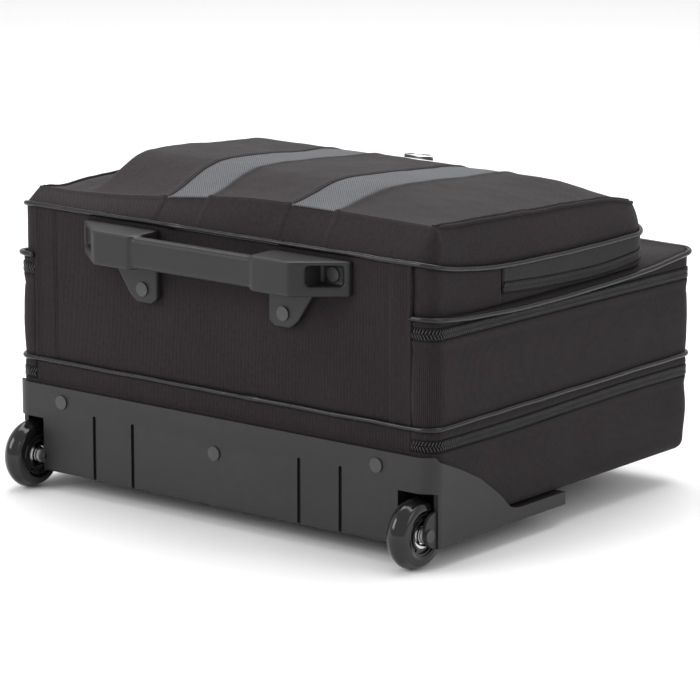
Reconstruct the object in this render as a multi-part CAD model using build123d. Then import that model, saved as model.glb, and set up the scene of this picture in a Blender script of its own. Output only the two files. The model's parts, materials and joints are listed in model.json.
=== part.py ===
"""Rolling laptop case, lying on its back on its two wheels and its trolley bezel.

X is across the case, Y runs from the wheel end to the top end, and Z is up, from the back to the front pocket.
Sizes are in millimetres. Lengths along Y are written from the middle of the case body, and every piece is moved
by Y_SHIFT as it is saved, so that the origin lies under the middle of the whole object.
"""

import os
from math import atan2, cos, degrees, radians, sin

from build123d import *

# ---- case body ------------------------------------------------------------------------------------------------
CASE_WIDTH = 443.5
CASE_LENGTH = 364.0
CORNER_RADIUS = 13.0
WALL = 5.0
BACK_Z = 28.5
BACK_THICKNESS = 4.0
DECK_THICKNESS = 4.0
BOARD_THICKNESS = 2.0
PAD_THICKNESS = 7.0
BOARD_MARGIN = 10.0

# ---- heights of the zips and seams ----------------------------------------------------------------------------
REAR_ZIP_Z = 100.0
MAIN_ZIP_Z = 187.0
LEDGE_Z = 203.0
POCKET_ZIP_Z = 211.0
FOLD_Z = 113.5
LID_PIPING_Z = 199.0
PANEL_TOP_Z = 246.0
FLAP_PIPING_Z = 232.0
CREST_Z = 285.0

# ---- zips -----------------------------------------------------------------------------------------------------
ZIP_HALF_BAND = 6.0
ZIP_HALF_GAP = 0.3
ZIP_ROW_THICKNESS = 3.0
ZIP_PROUD = 1.0
HEM_INSET = 20.5
HEM_GAP = 0.5
SEAM_GAP = 0.5
PIPING_RADIUS = 2.2

# ---- front pocket ---------------------------------------------------------------------------------------------
POCKET_SIDE_STEP = 2.5
POCKET_LEDGE = 56.0
POCKET_CORNER_RADIUS = 30.0
SEWN_LENGTH = 91.0
FLAP_GAP = 0.3
POCKET_WALL = 8.0

# ---- stripes and badge ----------------------------------------------------------------------------------------
STRIPE_WIDTH = 44.0
STRIPE_THICKNESS = 1.2
STRIPE_CENTRES = (-46.0, 87.5)
BADGE_X = 20.0
BADGE_Y = 61.0
BADGE_LENGTH = 30.0
BADGE_WIDTH = 12.0
BADGE_THICKNESS = 2.4

# ---- kick plate -----------------------------------------------------------------------------------------------
KICK_FACE = 5.5
KICK_SIDE = 2.8
KICK_TOP_Z = 92.0
KICK_BOTTOM_Z = 16.5
KICK_TOP_LENGTH = 3.0
KICK_EDGE_RADIUS = 3.0
SKID_LENGTH = 178.0
SKID_WIDTH = 30.0
NEAR_RAIL = 20.0
GROOVE_CENTRES = (90.0, 133.0)
GROOVE_WIDTH = 3.5
GROOVE_DEPTH = 2.5
GROOVE_TOP_Z = 71.0
KICK_RIVET_INSET = 51.7
KICK_RIVET_OUTER_Z = 79.5
KICK_RIVET_MIDDLE_Z = 62.0

# ---- wheels ---------------------------------------------------------------------------------------------------
WHEEL_RADIUS = 29.3
WHEEL_WIDTH = 21.5
WHEEL_INSET = 14.45
WHEEL_REACH = 4.0
TYRE_INNER_RADIUS = 17.5
TYRE_SIDE_STEP = 2.5
TYRE_SHOULDER = 0.62
TYRE_CROWN = 2.6
HUB_WIDTH = 17.5
HUB_OPENINGS = 6
AXLE_RADIUS = 4.0
AXLE_HEAD_RADIUS = 5.2
AXLE_HEAD_THICKNESS = 1.6
BEARING_RADIUS = 11.0
BEARING_WIDTH = 7.0
BEARING_OUTER_WALL = 2.2
BEARING_INNER_WALL = 2.6
WELL_CLEARANCE = 4.0
WELL_WALL = 2.5
WELL_SIDE_GAP = 5.0
EAR_GAP = 1.25
EAR_RADIUS = 15.0
EAR_REACH = 9.5
EAR_THICKNESS = 3.0
EAR_RISE = 3.0

# ---- grab handle at the wheel end -----------------------------------------------------------------------------
HANDLE_HALF_LENGTH = 142.0
HANDLE_BOTTOM_Z = 212.0
HANDLE_TOP_Z = 241.0
HANDLE_STAND_OFF = 36.0
HANDLE_BAR_DEPTH = 14.0
HANDLE_STEP = 1.5
HANDLE_BLOCK_INNER_X = 62.0
HANDLE_BLOCK_OUTER_X = 104.0
HANDLE_END_DEPTH = 5.0
TAB_THICKNESS = 7.0
TAB_BOTTOM_Z = 179.0
TAB_RIVET_X = 75.5
TAB_RIVET_Z = 190.5
END_RIVET_X = 126.0
END_RIVET_Z = 229.0
RIVET_RADIUS = 2.5
RIVET_HEAD_RADIUS = 6.0
RIVET_HEAD = 1.4
BACKING_THICKNESS = 2.0

# ---- carry handle at the top end ------------------------------------------------------------------------------
STRAP_BOTTOM_Z = 134.0
STRAP_WIDTH = 30.0
STRAP_HALF_LENGTH = 92.0
STRAP_THICKNESS = 4.0
STRAP_STAND_OFF = 3.0
ANCHOR_LENGTH = 26.0

# ---- trolley --------------------------------------------------------------------------------------------------
TUBE_X = 78.0
TUBE_WIDTH = 26.0
TUBE_HEIGHT = 17.0
TUBE_WALL = 1.2
TUBE_GAP = 0.3
TUBE_CORNER = 3.0
BRACKET_OFFSET = 27.0
BRACKET_LENGTH = 26.0
BRACKET_WALL = 12.0
BRACKET_BOTTOM_Z = 8.0
BRACKET_WIDTH = 200.0
BEZEL_LENGTH = 32.0
BEZEL_OVERHANG = 3.0
BEZEL_WIDTH = 236.0
SCREW_INSET = 14.0
TUBE_SEAT = 14.0
STAGE_STEP = 4.0
PLUG_LENGTH = 8.0
GRIP_HALF_LENGTH = 92.0
GRIP_DEPTH = 20.0
GRIP_HEIGHT = 19.0
GRIP_WALL = 2.5
BUTTON_HALF_LENGTH = 16.0
BUTTON_HEIGHT = 10.0
BUTTON_PROUD = 4.0
ROD_RADIUS = 2.4
SCREW_RADIUS = 2.0
SCREW_HEAD_RADIUS = 3.6
SCREW_HEAD = 2.0

# ---- zip sliders ----------------------------------------------------------------------------------------------
SLIDER_LENGTH = 9.0
SLIDER_HEIGHT = 10.0
SLIDER_THICKNESS = 2.4
SLIDER_GAP = 0.4
PULL_LENGTH = 19.5
PULL_WIDTH = 5.0
PULL_THICKNESS = 1.6
PIN_RADIUS = 0.7
PIN_CLEARANCE = 0.08
PULL_EYE_RADIUS = 1.6
POCKET_SLIDER_INSET = 66.0

# How the plate's upper edge falls along the side: (distance from the wheel end, height above its underside).
KICK_SIDE_EDGE = ((7, 71), (33, 60.5), (60, 47.5), (87, 28.5), (101, 15.5), (108, 13), (115, 12))

# ---- worked out from the sizes above --------------------------------------------------------------------------
HALF_WIDTH = CASE_WIDTH / 2
END_Y = CASE_LENGTH / 2
NEAR_Y = -END_Y
CREST_Y = NEAR_Y + SEWN_LENGTH
POCKET_WIDTH = CASE_WIDTH - 2 * POCKET_SIDE_STEP
POCKET_END_Y = END_Y - POCKET_LEDGE
POCKET_SLIDER_X = POCKET_SLIDER_INSET - POCKET_WIDTH / 2
WHEEL_X = HALF_WIDTH - WHEEL_INSET
WHEEL_Y = NEAR_Y - WHEEL_REACH
BRACKET_START_Y = NEAR_Y + BRACKET_OFFSET
BRACKET_END_Y = BRACKET_START_Y + BRACKET_LENGTH
TUBE_START_Y = BRACKET_START_Y + BRACKET_WALL
BEZEL_END_Y = END_Y + BEZEL_OVERHANG
BEZEL_START_Y = BEZEL_END_Y - BEZEL_LENGTH
HEM_X = HALF_WIDTH - HEM_INSET
FLOOR_Z = BACK_Z + BACK_THICKNESS
AXLE_Z = WHEEL_RADIUS
PIPING_Y = NEAR_Y - PIPING_RADIUS
TUBE_Z = BACK_Z - TUBE_HEIGHT / 2
GRIP_START_Y = BEZEL_END_Y + SEAM_GAP
GRIP_END_Y = GRIP_START_Y + GRIP_DEPTH
NEAR_REACH = NEAR_Y - HANDLE_STAND_OFF
FAR_REACH = GRIP_END_Y + BUTTON_PROUD
Y_SHIFT = -(NEAR_REACH + FAR_REACH) / 2
FAR_AWAY = 1000.0


def save(name, shape):
    """Write one piece, moved from the body's middle to the object's origin."""
    solids = ShapeList(shape).solids() if isinstance(shape, list) else shape.solids()
    placed = [solid.moved(Location((0, Y_SHIFT, 0))) for solid in solids]
    export_step(placed[0] if len(placed) == 1 else Compound(children=placed), f"parts/{name}.step")


def block(x0, x1, y0, y1, z0, z1):
    """A box between two corners."""
    return Pos((x0 + x1) / 2, (y0 + y1) / 2, (z0 + z1) / 2) * Box(abs(x1 - x0), abs(y1 - y0), abs(z1 - z0))


def between_y(y0, y1):
    """Everything between two Y values."""
    return block(-FAR_AWAY, FAR_AWAY, y0, y1, -FAR_AWAY, FAR_AWAY)


def post(width, y0, y1, radius, z0, z1):
    """An upright block with rounded corners, centred on X = 0."""
    outline = Pos(0, (y0 + y1) / 2, z0) * RectangleRounded(width, y1 - y0, radius)
    return extrude(outline, z1 - z0)


def wall_ring(width, y0, y1, radius, thickness, z0, z1):
    """An upright wall of even thickness that runs round a rounded rectangle."""
    outer = post(width, y0, y1, radius, z0, z1)
    return outer - post(width - 2 * thickness, y0 + thickness, y1 - thickness, radius - thickness, z0, z1)


def side_profile(points, x0, x1):
    """A block whose outline in the YZ plane is given, between two X values."""
    face = make_face(Polyline(*[(x0, y, z) for y, z in points], close=True))
    return extrude(face, x1 - x0, dir=(1, 0, 0))


def x_rod(radius, x0, x1, y, z):
    """A round bar along X."""
    return Pos((x0 + x1) / 2, y, z) * Rot(0, 90, 0) * Cylinder(radius, abs(x1 - x0))


def y_rod(radius, x, y0, y1, z):
    """A round bar along Y."""
    return Pos(x, (y0 + y1) / 2, z) * Rot(90, 0, 0) * Cylinder(radius, abs(y1 - y0))


def z_rod(radius, x, y, z0, z1):
    """A round bar along Z."""
    return Pos(x, y, (z0 + z1) / 2) * Cylinder(radius, abs(z1 - z0))


def y_tube(x, y0, y1, width, height, radius):
    """A bar along Y whose section is a rounded rectangle, centred on the trolley tubes' height."""
    section = Plane(origin=(x, y0, TUBE_Z), x_dir=(1, 0, 0), z_dir=(0, 1, 0)) * RectangleRounded(width, height, radius)
    return extrude(section, y1 - y0, dir=(0, 1, 0))


def piping_ring(width, y0, y1, radius, z):
    """A round cord sewn along the outside of a rounded rectangle."""
    reach = PIPING_RADIUS
    outline = Pos(0, (y0 + y1) / 2, z) * RectangleRounded(width + 2 * reach, y1 - y0 + 2 * reach, radius + reach)
    path = outline.wire()
    section = Plane(origin=path @ 0, z_dir=path % 0) * Circle(PIPING_RADIUS)
    return sweep(section, path)


def zip_row(width, y0, y1, radius, z0, z1):
    """One row of a coil zip on its tape, all the way round."""
    proud = ZIP_PROUD
    return wall_ring(width + 2 * proud, y0 - proud, y1 + proud, radius + proud, ZIP_ROW_THICKNESS, z0, z1)


def panel_zone(gap, top=FAR_AWAY):
    """The part of the wheel end that lies between the two hems of its panel, widened by a gap."""
    reach = HEM_X + gap
    return block(-reach, reach, -FAR_AWAY, NEAR_Y + WALL + gap, -FAR_AWAY, top)


# ---- rear section ---------------------------------------------------------------------------------------------
WELL_RADIUS = WHEEL_RADIUS + WELL_CLEARANCE
WELL_INNER_X = WHEEL_X - WHEEL_WIDTH / 2 - WELL_SIDE_GAP
KICK_OUTER_X = HALF_WIDTH + KICK_SIDE
EAR_INNER_X = WHEEL_X + WHEEL_WIDTH / 2 + EAR_GAP
KICK_FACE_Y = NEAR_Y - KICK_FACE


def both_sides(shape):
    """A piece and its mirror image across the case."""
    return shape + mirror(shape, Plane.YZ)


def well_block():
    """The space that a wheel well and its wall take out of the case."""
    return both_sides(x_rod(WELL_RADIUS + WELL_WALL, WELL_INNER_X - WELL_WALL, KICK_OUTER_X, WHEEL_Y, AXLE_Z))


def kick_rivet_places():
    """Where the kick plate is riveted to the case: (x, z)."""
    spread = HALF_WIDTH - KICK_RIVET_INSET
    outer = [(side * spread, KICK_RIVET_OUTER_Z) for side in (-1, 1)]
    return outer + [(0, KICK_RIVET_MIDDLE_Z)]


def build_rear_shell():
    """Back, walls and fold strip of the laptop compartment."""
    top = REAR_ZIP_Z - ZIP_HALF_BAND
    walls = wall_ring(CASE_WIDTH, NEAR_Y, END_Y, CORNER_RADIUS, WALL, BACK_Z, top)
    strip_top = FOLD_Z - PIPING_RADIUS - SEAM_GAP
    strip = wall_ring(CASE_WIDTH, NEAR_Y, END_Y, CORNER_RADIUS, WALL, BACK_Z, strip_top)
    strip &= panel_zone(0)
    floor = post(CASE_WIDTH, NEAR_Y, END_Y, CORNER_RADIUS, BACK_Z, FLOOR_Z)
    shell = walls + strip + floor - well_block()
    for x, z in kick_rivet_places():
        shell -= y_rod(RIVET_RADIUS, x, NEAR_Y - 1, NEAR_Y + WALL + 1, z)
    save("rear_shell", shell)


def build_back_board_and_pad():
    """Stiffener sheet on the back, and the foam pad that the laptop lies on."""
    inset = WALL + BOARD_MARGIN
    board_top = FLOOR_Z + BOARD_THICKNESS
    start = WHEEL_Y + WELL_RADIUS + WELL_WALL + BOARD_MARGIN
    width = CASE_WIDTH - 2 * inset
    save("back_board", post(width, start, END_Y - inset, CORNER_RADIUS - WALL, FLOOR_Z, board_top))
    pad = post(width, start, END_Y - inset, CORNER_RADIUS - WALL, board_top, board_top + PAD_THICKNESS)
    save("laptop_pad", pad)


def build_kick_plate():
    """Moulded plate round the wheel end, with skid rails, wheel wells and axle ears."""
    outer = post(2 * KICK_OUTER_X, KICK_FACE_Y, END_Y, CORNER_RADIUS + KICK_SIDE, KICK_BOTTOM_Z, KICK_TOP_Z)
    skid_end = NEAR_Y + SKID_LENGTH
    falling_edge = [(NEAR_Y + reach, KICK_BOTTOM_Z + height) for reach, height in KICK_SIDE_EDGE]
    side_points = [(KICK_FACE_Y - 1, KICK_TOP_Z), (NEAR_Y + KICK_TOP_LENGTH, KICK_TOP_Z)] + falling_edge
    side_points += [(skid_end, BACK_Z), (skid_end, KICK_BOTTOM_Z), (KICK_FACE_Y - 1, KICK_BOTTOM_Z)]
    rounded = fillet(outer.edges().group_by(Axis.Z)[0], KICK_EDGE_RADIUS)
    plate = rounded & side_profile(side_points, -FAR_AWAY, FAR_AWAY)
    plate -= post(CASE_WIDTH, NEAR_Y, END_Y, CORNER_RADIUS, BACK_Z, KICK_TOP_Z + 1)
    rail_x = KICK_OUTER_X - SKID_WIDTH
    plate -= block(-rail_x, rail_x, NEAR_Y + NEAR_RAIL, FAR_AWAY, KICK_BOTTOM_Z - 1, BACK_Z + 1)

    liner = well_block() & block(-FAR_AWAY, FAR_AWAY, KICK_FACE_Y, FAR_AWAY, KICK_BOTTOM_Z, FAR_AWAY)
    liner &= outer
    plate += liner
    plate -= both_sides(x_rod(WELL_RADIUS, WELL_INNER_X, KICK_OUTER_X + 1, WHEEL_Y, AXLE_Z)
                        & between_y(-FAR_AWAY, WHEEL_Y + EAR_REACH))
    plate -= both_sides(x_rod(WELL_RADIUS, WELL_INNER_X, EAR_INNER_X, WHEEL_Y, AXLE_Z))
    ear = x_rod(EAR_RADIUS, EAR_INNER_X, EAR_INNER_X + EAR_THICKNESS, WHEEL_Y + EAR_REACH, AXLE_Z + EAR_RISE)
    ear += block(EAR_INNER_X, EAR_INNER_X + EAR_THICKNESS, WHEEL_Y + EAR_REACH, WHEEL_Y + WELL_RADIUS,
                 AXLE_Z + EAR_RISE - EAR_RADIUS, AXLE_Z + EAR_RISE + EAR_RADIUS)
    ear &= block(-FAR_AWAY, FAR_AWAY, -FAR_AWAY, FAR_AWAY, KICK_BOTTOM_Z, FAR_AWAY)
    ear &= x_rod(WELL_RADIUS + WELL_WALL, EAR_INNER_X, KICK_OUTER_X, WHEEL_Y, AXLE_Z)
    plate += both_sides(ear)
    plate -= both_sides(x_rod(AXLE_RADIUS, WELL_INNER_X - WELL_WALL, KICK_OUTER_X + 2, WHEEL_Y, AXLE_Z))
    for x in GROOVE_CENTRES:
        groove = block(x - GROOVE_WIDTH / 2, x + GROOVE_WIDTH / 2, KICK_FACE_Y - 1, KICK_FACE_Y + GROOVE_DEPTH,
                       KICK_BOTTOM_Z - 1, GROOVE_TOP_Z)
        groove += y_rod(GROOVE_WIDTH / 2, x, KICK_FACE_Y - 1, KICK_FACE_Y + GROOVE_DEPTH, GROOVE_TOP_Z)
        plate -= both_sides(groove)
    for x, z in kick_rivet_places():
        plate -= y_rod(RIVET_RADIUS, x, KICK_FACE_Y - 1, NEAR_Y + 1, z)
    save("kick_plate", plate)


def build_kick_rivets():
    """Flush rivets that hold the kick plate to the case."""
    rivets = []
    for x, z in kick_rivet_places():
        head = y_rod(RIVET_HEAD_RADIUS, x, KICK_FACE_Y - RIVET_HEAD, KICK_FACE_Y, z)
        shank = y_rod(RIVET_RADIUS, x, KICK_FACE_Y, NEAR_Y + WALL, z)
        washer = y_rod(RIVET_HEAD_RADIUS, x, NEAR_Y + WALL, NEAR_Y + WALL + RIVET_HEAD, z)
        rivets.append(head + shank + washer)
    save("kick_plate_rivets", Compound(children=rivets))


# ---- wheels ---------------------------------------------------------------------------------------------------
BEARING_OFFSET = HUB_WIDTH / 2 - BEARING_WIDTH / 2
INNER_RING_RADIUS = AXLE_RADIUS + BEARING_INNER_WALL


def wheel_revolve(points):
    """A ring round the axle: points are (distance from the wheel's middle along the axle, radius)."""
    face = make_face(Polyline(*[(x, r, 0) for x, r in points], close=True))
    return revolve(face, Axis.X)


def build_tyre():
    """Tyre with a crowned tread."""
    half = WHEEL_WIDTH / 2
    edge = TYRE_INNER_RADIUS + TYRE_SIDE_STEP
    shoulder = WHEEL_RADIUS - TYRE_CROWN
    tread = Spline((-half, edge), (-half * TYRE_SHOULDER, shoulder), (0, WHEEL_RADIUS),
                   (half * TYRE_SHOULDER, shoulder), (half, edge), tangents=[(0.15, 1), (0.15, -1)])
    base = Polyline((half, edge), (half - 1, TYRE_INNER_RADIUS), (1 - half, TYRE_INNER_RADIUS), (-half, edge))
    return revolve(make_face(tread + base), Axis.X)


def build_hub():
    """Hub with a web that has openings, and two bearing seats."""
    half = HUB_WIDTH / 2
    rim_inner = TYRE_INNER_RADIUS - 1.8
    boss = BEARING_RADIUS + 1.6
    rim = wheel_revolve([(-half, rim_inner), (-half, TYRE_INNER_RADIUS), (half, TYRE_INNER_RADIUS), (half, rim_inner)])
    web = wheel_revolve([(-half + 2, boss - 0.5), (-half + 2, rim_inner + 0.5), (half - 2, rim_inner + 0.5),
                         (half - 2, boss - 0.5)])
    core = wheel_revolve([(-half, INNER_RING_RADIUS + 1), (-half, boss), (half, boss), (half, INNER_RING_RADIUS + 1)])
    hub = rim + web + core
    for side in (-1, 1):
        seat = side * BEARING_OFFSET
        hub -= x_rod(BEARING_RADIUS, seat - BEARING_WIDTH / 2, seat + BEARING_WIDTH / 2, 0, 0)
    for turn in range(HUB_OPENINGS):
        angle = radians(turn * 360 / HUB_OPENINGS)
        middle = (boss + rim_inner) / 2
        hub -= x_rod((rim_inner - boss) / 2 - 0.1, -half, half, middle * cos(angle), middle * sin(angle))
    return hub


def build_bearing_rings(inner, outer):
    """One ring of each of the wheel's two bearings."""
    rings = []
    for side in (-1, 1):
        seat = side * BEARING_OFFSET
        low = seat - BEARING_WIDTH / 2
        high = seat + BEARING_WIDTH / 2
        rings.append(wheel_revolve([(low, inner), (low, outer), (high, outer), (high, inner)]))
    return rings


def build_wheels():
    """Tyres, hubs, bearings, axles and spacers."""
    inner_rings = []
    axles = []
    spacers = []
    for name, side in (("left", -1), ("right", 1)):
        place = Pos(side * WHEEL_X, WHEEL_Y, AXLE_Z)
        save(f"{name}_tyre", place * build_tyre())
        save(f"{name}_hub", place * build_hub())
        outer_rings = build_bearing_rings(BEARING_RADIUS - BEARING_OUTER_WALL, BEARING_RADIUS)
        save(f"{name}_bearings", Compound(children=[place * ring for ring in outer_rings]))
        inner_rings += [place * ring for ring in build_bearing_rings(AXLE_RADIUS, INNER_RING_RADIUS)]

        inner_end = side * (WELL_INNER_X - WELL_WALL)
        ear_face = side * (EAR_INNER_X + EAR_THICKNESS)
        head_end = ear_face + side * AXLE_HEAD_THICKNESS
        axle = x_rod(AXLE_RADIUS, inner_end, ear_face, WHEEL_Y, AXLE_Z)
        axle += x_rod(AXLE_HEAD_RADIUS, ear_face, head_end, WHEEL_Y, AXLE_Z)
        axles.append(axle)

        ring_reach = BEARING_OFFSET + BEARING_WIDTH / 2
        stops = [
            (side * WELL_INNER_X, side * (WHEEL_X - ring_reach)),
            (side * WHEEL_X - BEARING_OFFSET + BEARING_WIDTH / 2, side * WHEEL_X + BEARING_OFFSET - BEARING_WIDTH / 2),
            (side * (WHEEL_X + ring_reach), side * EAR_INNER_X),
        ]
        for x0, x1 in stops:
            spacer = x_rod(INNER_RING_RADIUS - 0.4, x0, x1, WHEEL_Y, AXLE_Z)
            spacers.append(spacer - x_rod(AXLE_RADIUS, x0, x1, WHEEL_Y, AXLE_Z))
    save("bearing_inner_rings", Compound(children=inner_rings))
    save("wheel_axles", Compound(children=axles))
    save("axle_spacers", Compound(children=spacers))


# ---- zips and piping ------------------------------------------------------------------------------------------
BODY_OUTLINE = (CASE_WIDTH, NEAR_Y, END_Y, CORNER_RADIUS)
POCKET_OUTLINE = (POCKET_WIDTH, NEAR_Y + 1, POCKET_END_Y, POCKET_CORNER_RADIUS)
CORNER_END_Y = NEAR_Y + CORNER_RADIUS
POCKET_ZIP_START_Y = CREST_Y + 3.0


def build_zip(lower_name, upper_name, outline, z, left_out):
    """Two facing rows of one zip, a hair apart so that its two sections can part."""
    save(lower_name, zip_row(*outline, z - ZIP_HALF_BAND, z - ZIP_HALF_GAP) - left_out)
    save(upper_name, zip_row(*outline, z + ZIP_HALF_GAP, z + ZIP_HALF_BAND) - left_out)


def build_zips():
    """The three coil zips."""
    build_zip("rear_zip_lower_row", "rear_zip_upper_row", BODY_OUTLINE, REAR_ZIP_Z, panel_zone(HEM_GAP))
    build_zip("main_zip_lower_row", "main_zip_upper_row", BODY_OUTLINE, MAIN_ZIP_Z, panel_zone(HEM_GAP))
    sewn = between_y(-FAR_AWAY, POCKET_ZIP_START_Y)
    build_zip("pocket_zip_lower_row", "pocket_zip_upper_row", POCKET_OUTLINE, POCKET_ZIP_Z, sewn)


def build_piping():
    """Round piping: the fold line's full ring, the lid's edge, and the pocket's edge in two lengths."""
    save("mid_piping", piping_ring(*BODY_OUTLINE, FOLD_Z))
    save("lid_piping", piping_ring(*BODY_OUTLINE, LID_PIPING_Z) - panel_zone(HEM_GAP))
    save("panel_top_piping", piping_ring(*BODY_OUTLINE, PANEL_TOP_Z) & between_y(-FAR_AWAY, CORNER_END_Y))
    flap_side = between_y(CREST_Y + FLAP_GAP, FAR_AWAY)
    save("flap_piping", piping_ring(*POCKET_OUTLINE, FLAP_PIPING_Z) & flap_side)


# ---- mid section ----------------------------------------------------------------------------------------------
DIVIDER_Z = REAR_ZIP_Z + 8.0
TAB_INNER_X = 60.0
PANEL_BOTTOM_Z = FOLD_Z + PIPING_RADIUS + SEAM_GAP


def handle_rivet_places():
    """Where the grab handle is riveted to the panel: (x, z, distance of the head's seat from the panel)."""
    places = []
    for side in (-1, 1):
        places.append((side * TAB_RIVET_X, TAB_RIVET_Z, TAB_THICKNESS))
        places.append((side * END_RIVET_X, END_RIVET_Z, HANDLE_END_DEPTH))
    return places


def build_mid_shell():
    """Side and top-end walls of the main compartment, and the floor that divides it from the laptop's."""
    low = REAR_ZIP_Z + ZIP_HALF_BAND
    walls = wall_ring(*BODY_OUTLINE, WALL, low, MAIN_ZIP_Z - ZIP_HALF_BAND)
    walls -= panel_zone(HEM_GAP)
    inset = WALL - 1.0
    floor = post(CASE_WIDTH - 2 * inset, NEAR_Y + WALL + SEAM_GAP, END_Y - inset, CORNER_RADIUS - inset,
                 DIVIDER_Z, DIVIDER_Z + DECK_THICKNESS)
    save("mid_shell", walls + floor)
    board_z = DIVIDER_Z + DECK_THICKNESS
    margin = WALL + BOARD_MARGIN
    board = post(CASE_WIDTH - 2 * margin, NEAR_Y + margin, END_Y - margin, CORNER_RADIUS - WALL, board_z,
                 board_z + BOARD_THICKNESS)
    save("divider_board", board)


def build_wheel_end_panel():
    """Fabric panel between the fold and the lid, from hem to hem."""
    panel = wall_ring(*BODY_OUTLINE, WALL, PANEL_BOTTOM_Z, PANEL_TOP_Z - PIPING_RADIUS - SEAM_GAP)
    panel &= panel_zone(0)
    foot = wall_ring(*BODY_OUTLINE, WALL, FOLD_Z - PIPING_RADIUS, PANEL_BOTTOM_Z) & panel_zone(0)
    panel += foot - post(CASE_WIDTH - 2 * WALL + 2, NEAR_Y - 1, END_Y, CORNER_RADIUS, 0, PANEL_BOTTOM_Z)
    for x, z, _ in handle_rivet_places():
        panel -= y_rod(RIVET_RADIUS, x, NEAR_Y - 1, NEAR_Y + WALL + 1, z)
    save("wheel_end_panel", panel)


def build_grab_handle():
    """Moulded grab handle: a bar between two blocks that ramp down to the panel, with two fixing tabs."""
    front = NEAR_Y - HANDLE_STAND_OFF
    inner = front + HANDLE_BAR_DEPTH
    foot = NEAR_Y - HANDLE_END_DEPTH
    outline = Polyline((HANDLE_BLOCK_INNER_X, NEAR_Y), (HANDLE_BLOCK_INNER_X, front), (HANDLE_BLOCK_OUTER_X, front),
                       (HANDLE_HALF_LENGTH, foot), (HANDLE_HALF_LENGTH, NEAR_Y), close=True)
    end = extrude(Pos(0, 0, HANDLE_BOTTOM_Z) * make_face(outline), HANDLE_TOP_Z - HANDLE_BOTTOM_Z)
    upright = end.edges().filter_by(Axis.Z)
    end = fillet(upright.filter_by(lambda edge: edge.center().Y < foot - 1), 6.0)
    pocket = block(END_RIVET_X - 12, END_RIVET_X + 12, front - 1, foot, END_RIVET_Z - 8.5, END_RIVET_Z + 8.5)
    end -= pocket
    tab = Polyline((TAB_INNER_X, HANDLE_BOTTOM_Z), (TAB_INNER_X, TAB_BOTTOM_Z + 5), (TAB_INNER_X + 6, TAB_BOTTOM_Z),
                   (TAB_INNER_X + 22, TAB_BOTTOM_Z), (TAB_INNER_X + 30, TAB_BOTTOM_Z + 6),
                   (TAB_INNER_X + 46, HANDLE_BOTTOM_Z - 3), (TAB_INNER_X + 52, HANDLE_BOTTOM_Z), close=True)
    tab_face = Plane(origin=(0, NEAR_Y, 0), x_dir=(1, 0, 0), z_dir=(0, -1, 0)) * make_face(tab)
    end += extrude(tab_face, TAB_THICKNESS, dir=(0, -1, 0))
    bar = block(-HANDLE_BLOCK_INNER_X, HANDLE_BLOCK_INNER_X, front + HANDLE_STEP, inner,
                HANDLE_BOTTOM_Z + HANDLE_STEP, HANDLE_TOP_Z - HANDLE_STEP)
    bar = fillet(bar.edges().filter_by(Axis.X), 4.0)
    handle = bar + both_sides(end)
    for x, z, _ in handle_rivet_places():
        handle -= y_rod(RIVET_RADIUS, x, front, NEAR_Y, z)
    save("grab_handle", handle)

    rivets = []
    plates = []
    for x, z, seat in handle_rivet_places():
        head = y_rod(RIVET_HEAD_RADIUS, x, NEAR_Y - seat - RIVET_HEAD, NEAR_Y - seat, z)
        inner_face = NEAR_Y + WALL + BACKING_THICKNESS
        rivets.append(head + y_rod(RIVET_RADIUS, x, NEAR_Y - seat, inner_face, z)
                      + y_rod(RIVET_RADIUS + 1.5, x, inner_face, inner_face + RIVET_HEAD, z))
    for side in (-1, 1):
        xs = sorted((side * (TAB_RIVET_X - 12), side * (END_RIVET_X + 12)))
        plate = block(*xs, NEAR_Y + WALL, NEAR_Y + WALL + BACKING_THICKNESS, TAB_RIVET_Z - 8, END_RIVET_Z + 8)
        for x, z, _ in handle_rivet_places():
            plate -= y_rod(RIVET_RADIUS, x, NEAR_Y, NEAR_Y + 2 * WALL, z)
        plates.append(plate)
    save("handle_rivets", Compound(children=rivets))
    save("handle_backing_plates", Compound(children=plates))


def build_carry_handle():
    """Flat carry handle on the top end, held down at each end by a stitched anchor."""
    top = STRAP_BOTTOM_Z + STRAP_WIDTH
    seat = END_Y
    strap_y = seat + STRAP_STAND_OFF
    strap = block(-STRAP_HALF_LENGTH + ANCHOR_LENGTH, STRAP_HALF_LENGTH - ANCHOR_LENGTH, strap_y,
                  strap_y + STRAP_THICKNESS, STRAP_BOTTOM_Z, top)
    anchors = []
    for side in (-1, 1):
        xs = sorted((side * (STRAP_HALF_LENGTH - ANCHOR_LENGTH), side * STRAP_HALF_LENGTH))
        strap += block(*xs, seat, strap_y + STRAP_THICKNESS, STRAP_BOTTOM_Z, top)
        anchors.append(block(*xs, strap_y + STRAP_THICKNESS, strap_y + STRAP_THICKNESS + 1.5, STRAP_BOTTOM_Z - 2,
                             top + 2))
    save("carry_handle", strap)
    save("carry_handle_anchors", Compound(children=anchors))


# ---- front section and pocket flap ----------------------------------------------------------------------------
PAD_TOP = [(NEAR_Y + 1, PANEL_TOP_Z + 3), (NEAR_Y + 6, PANEL_TOP_Z + 12), (NEAR_Y + 19, PANEL_TOP_Z + 19),
           (CREST_Y - FLAP_GAP, CREST_Z)]
FLAP_TOP = [(CREST_Y + FLAP_GAP, CREST_Z), (CREST_Y + 22, CREST_Z), (CREST_Y + 88, CREST_Z - 4.5),
            (POCKET_END_Y - 75, CREST_Z - 7), (POCKET_END_Y - 30, CREST_Z - 17), (POCKET_END_Y - 7, CREST_Z - 34),
            (POCKET_END_Y, CREST_Z - 48)]
LID_BACK_GAP = 5.0
FLAP_ROOF_THICKNESS = 25.0
FLAP_ROOF_END = 65.0


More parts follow.
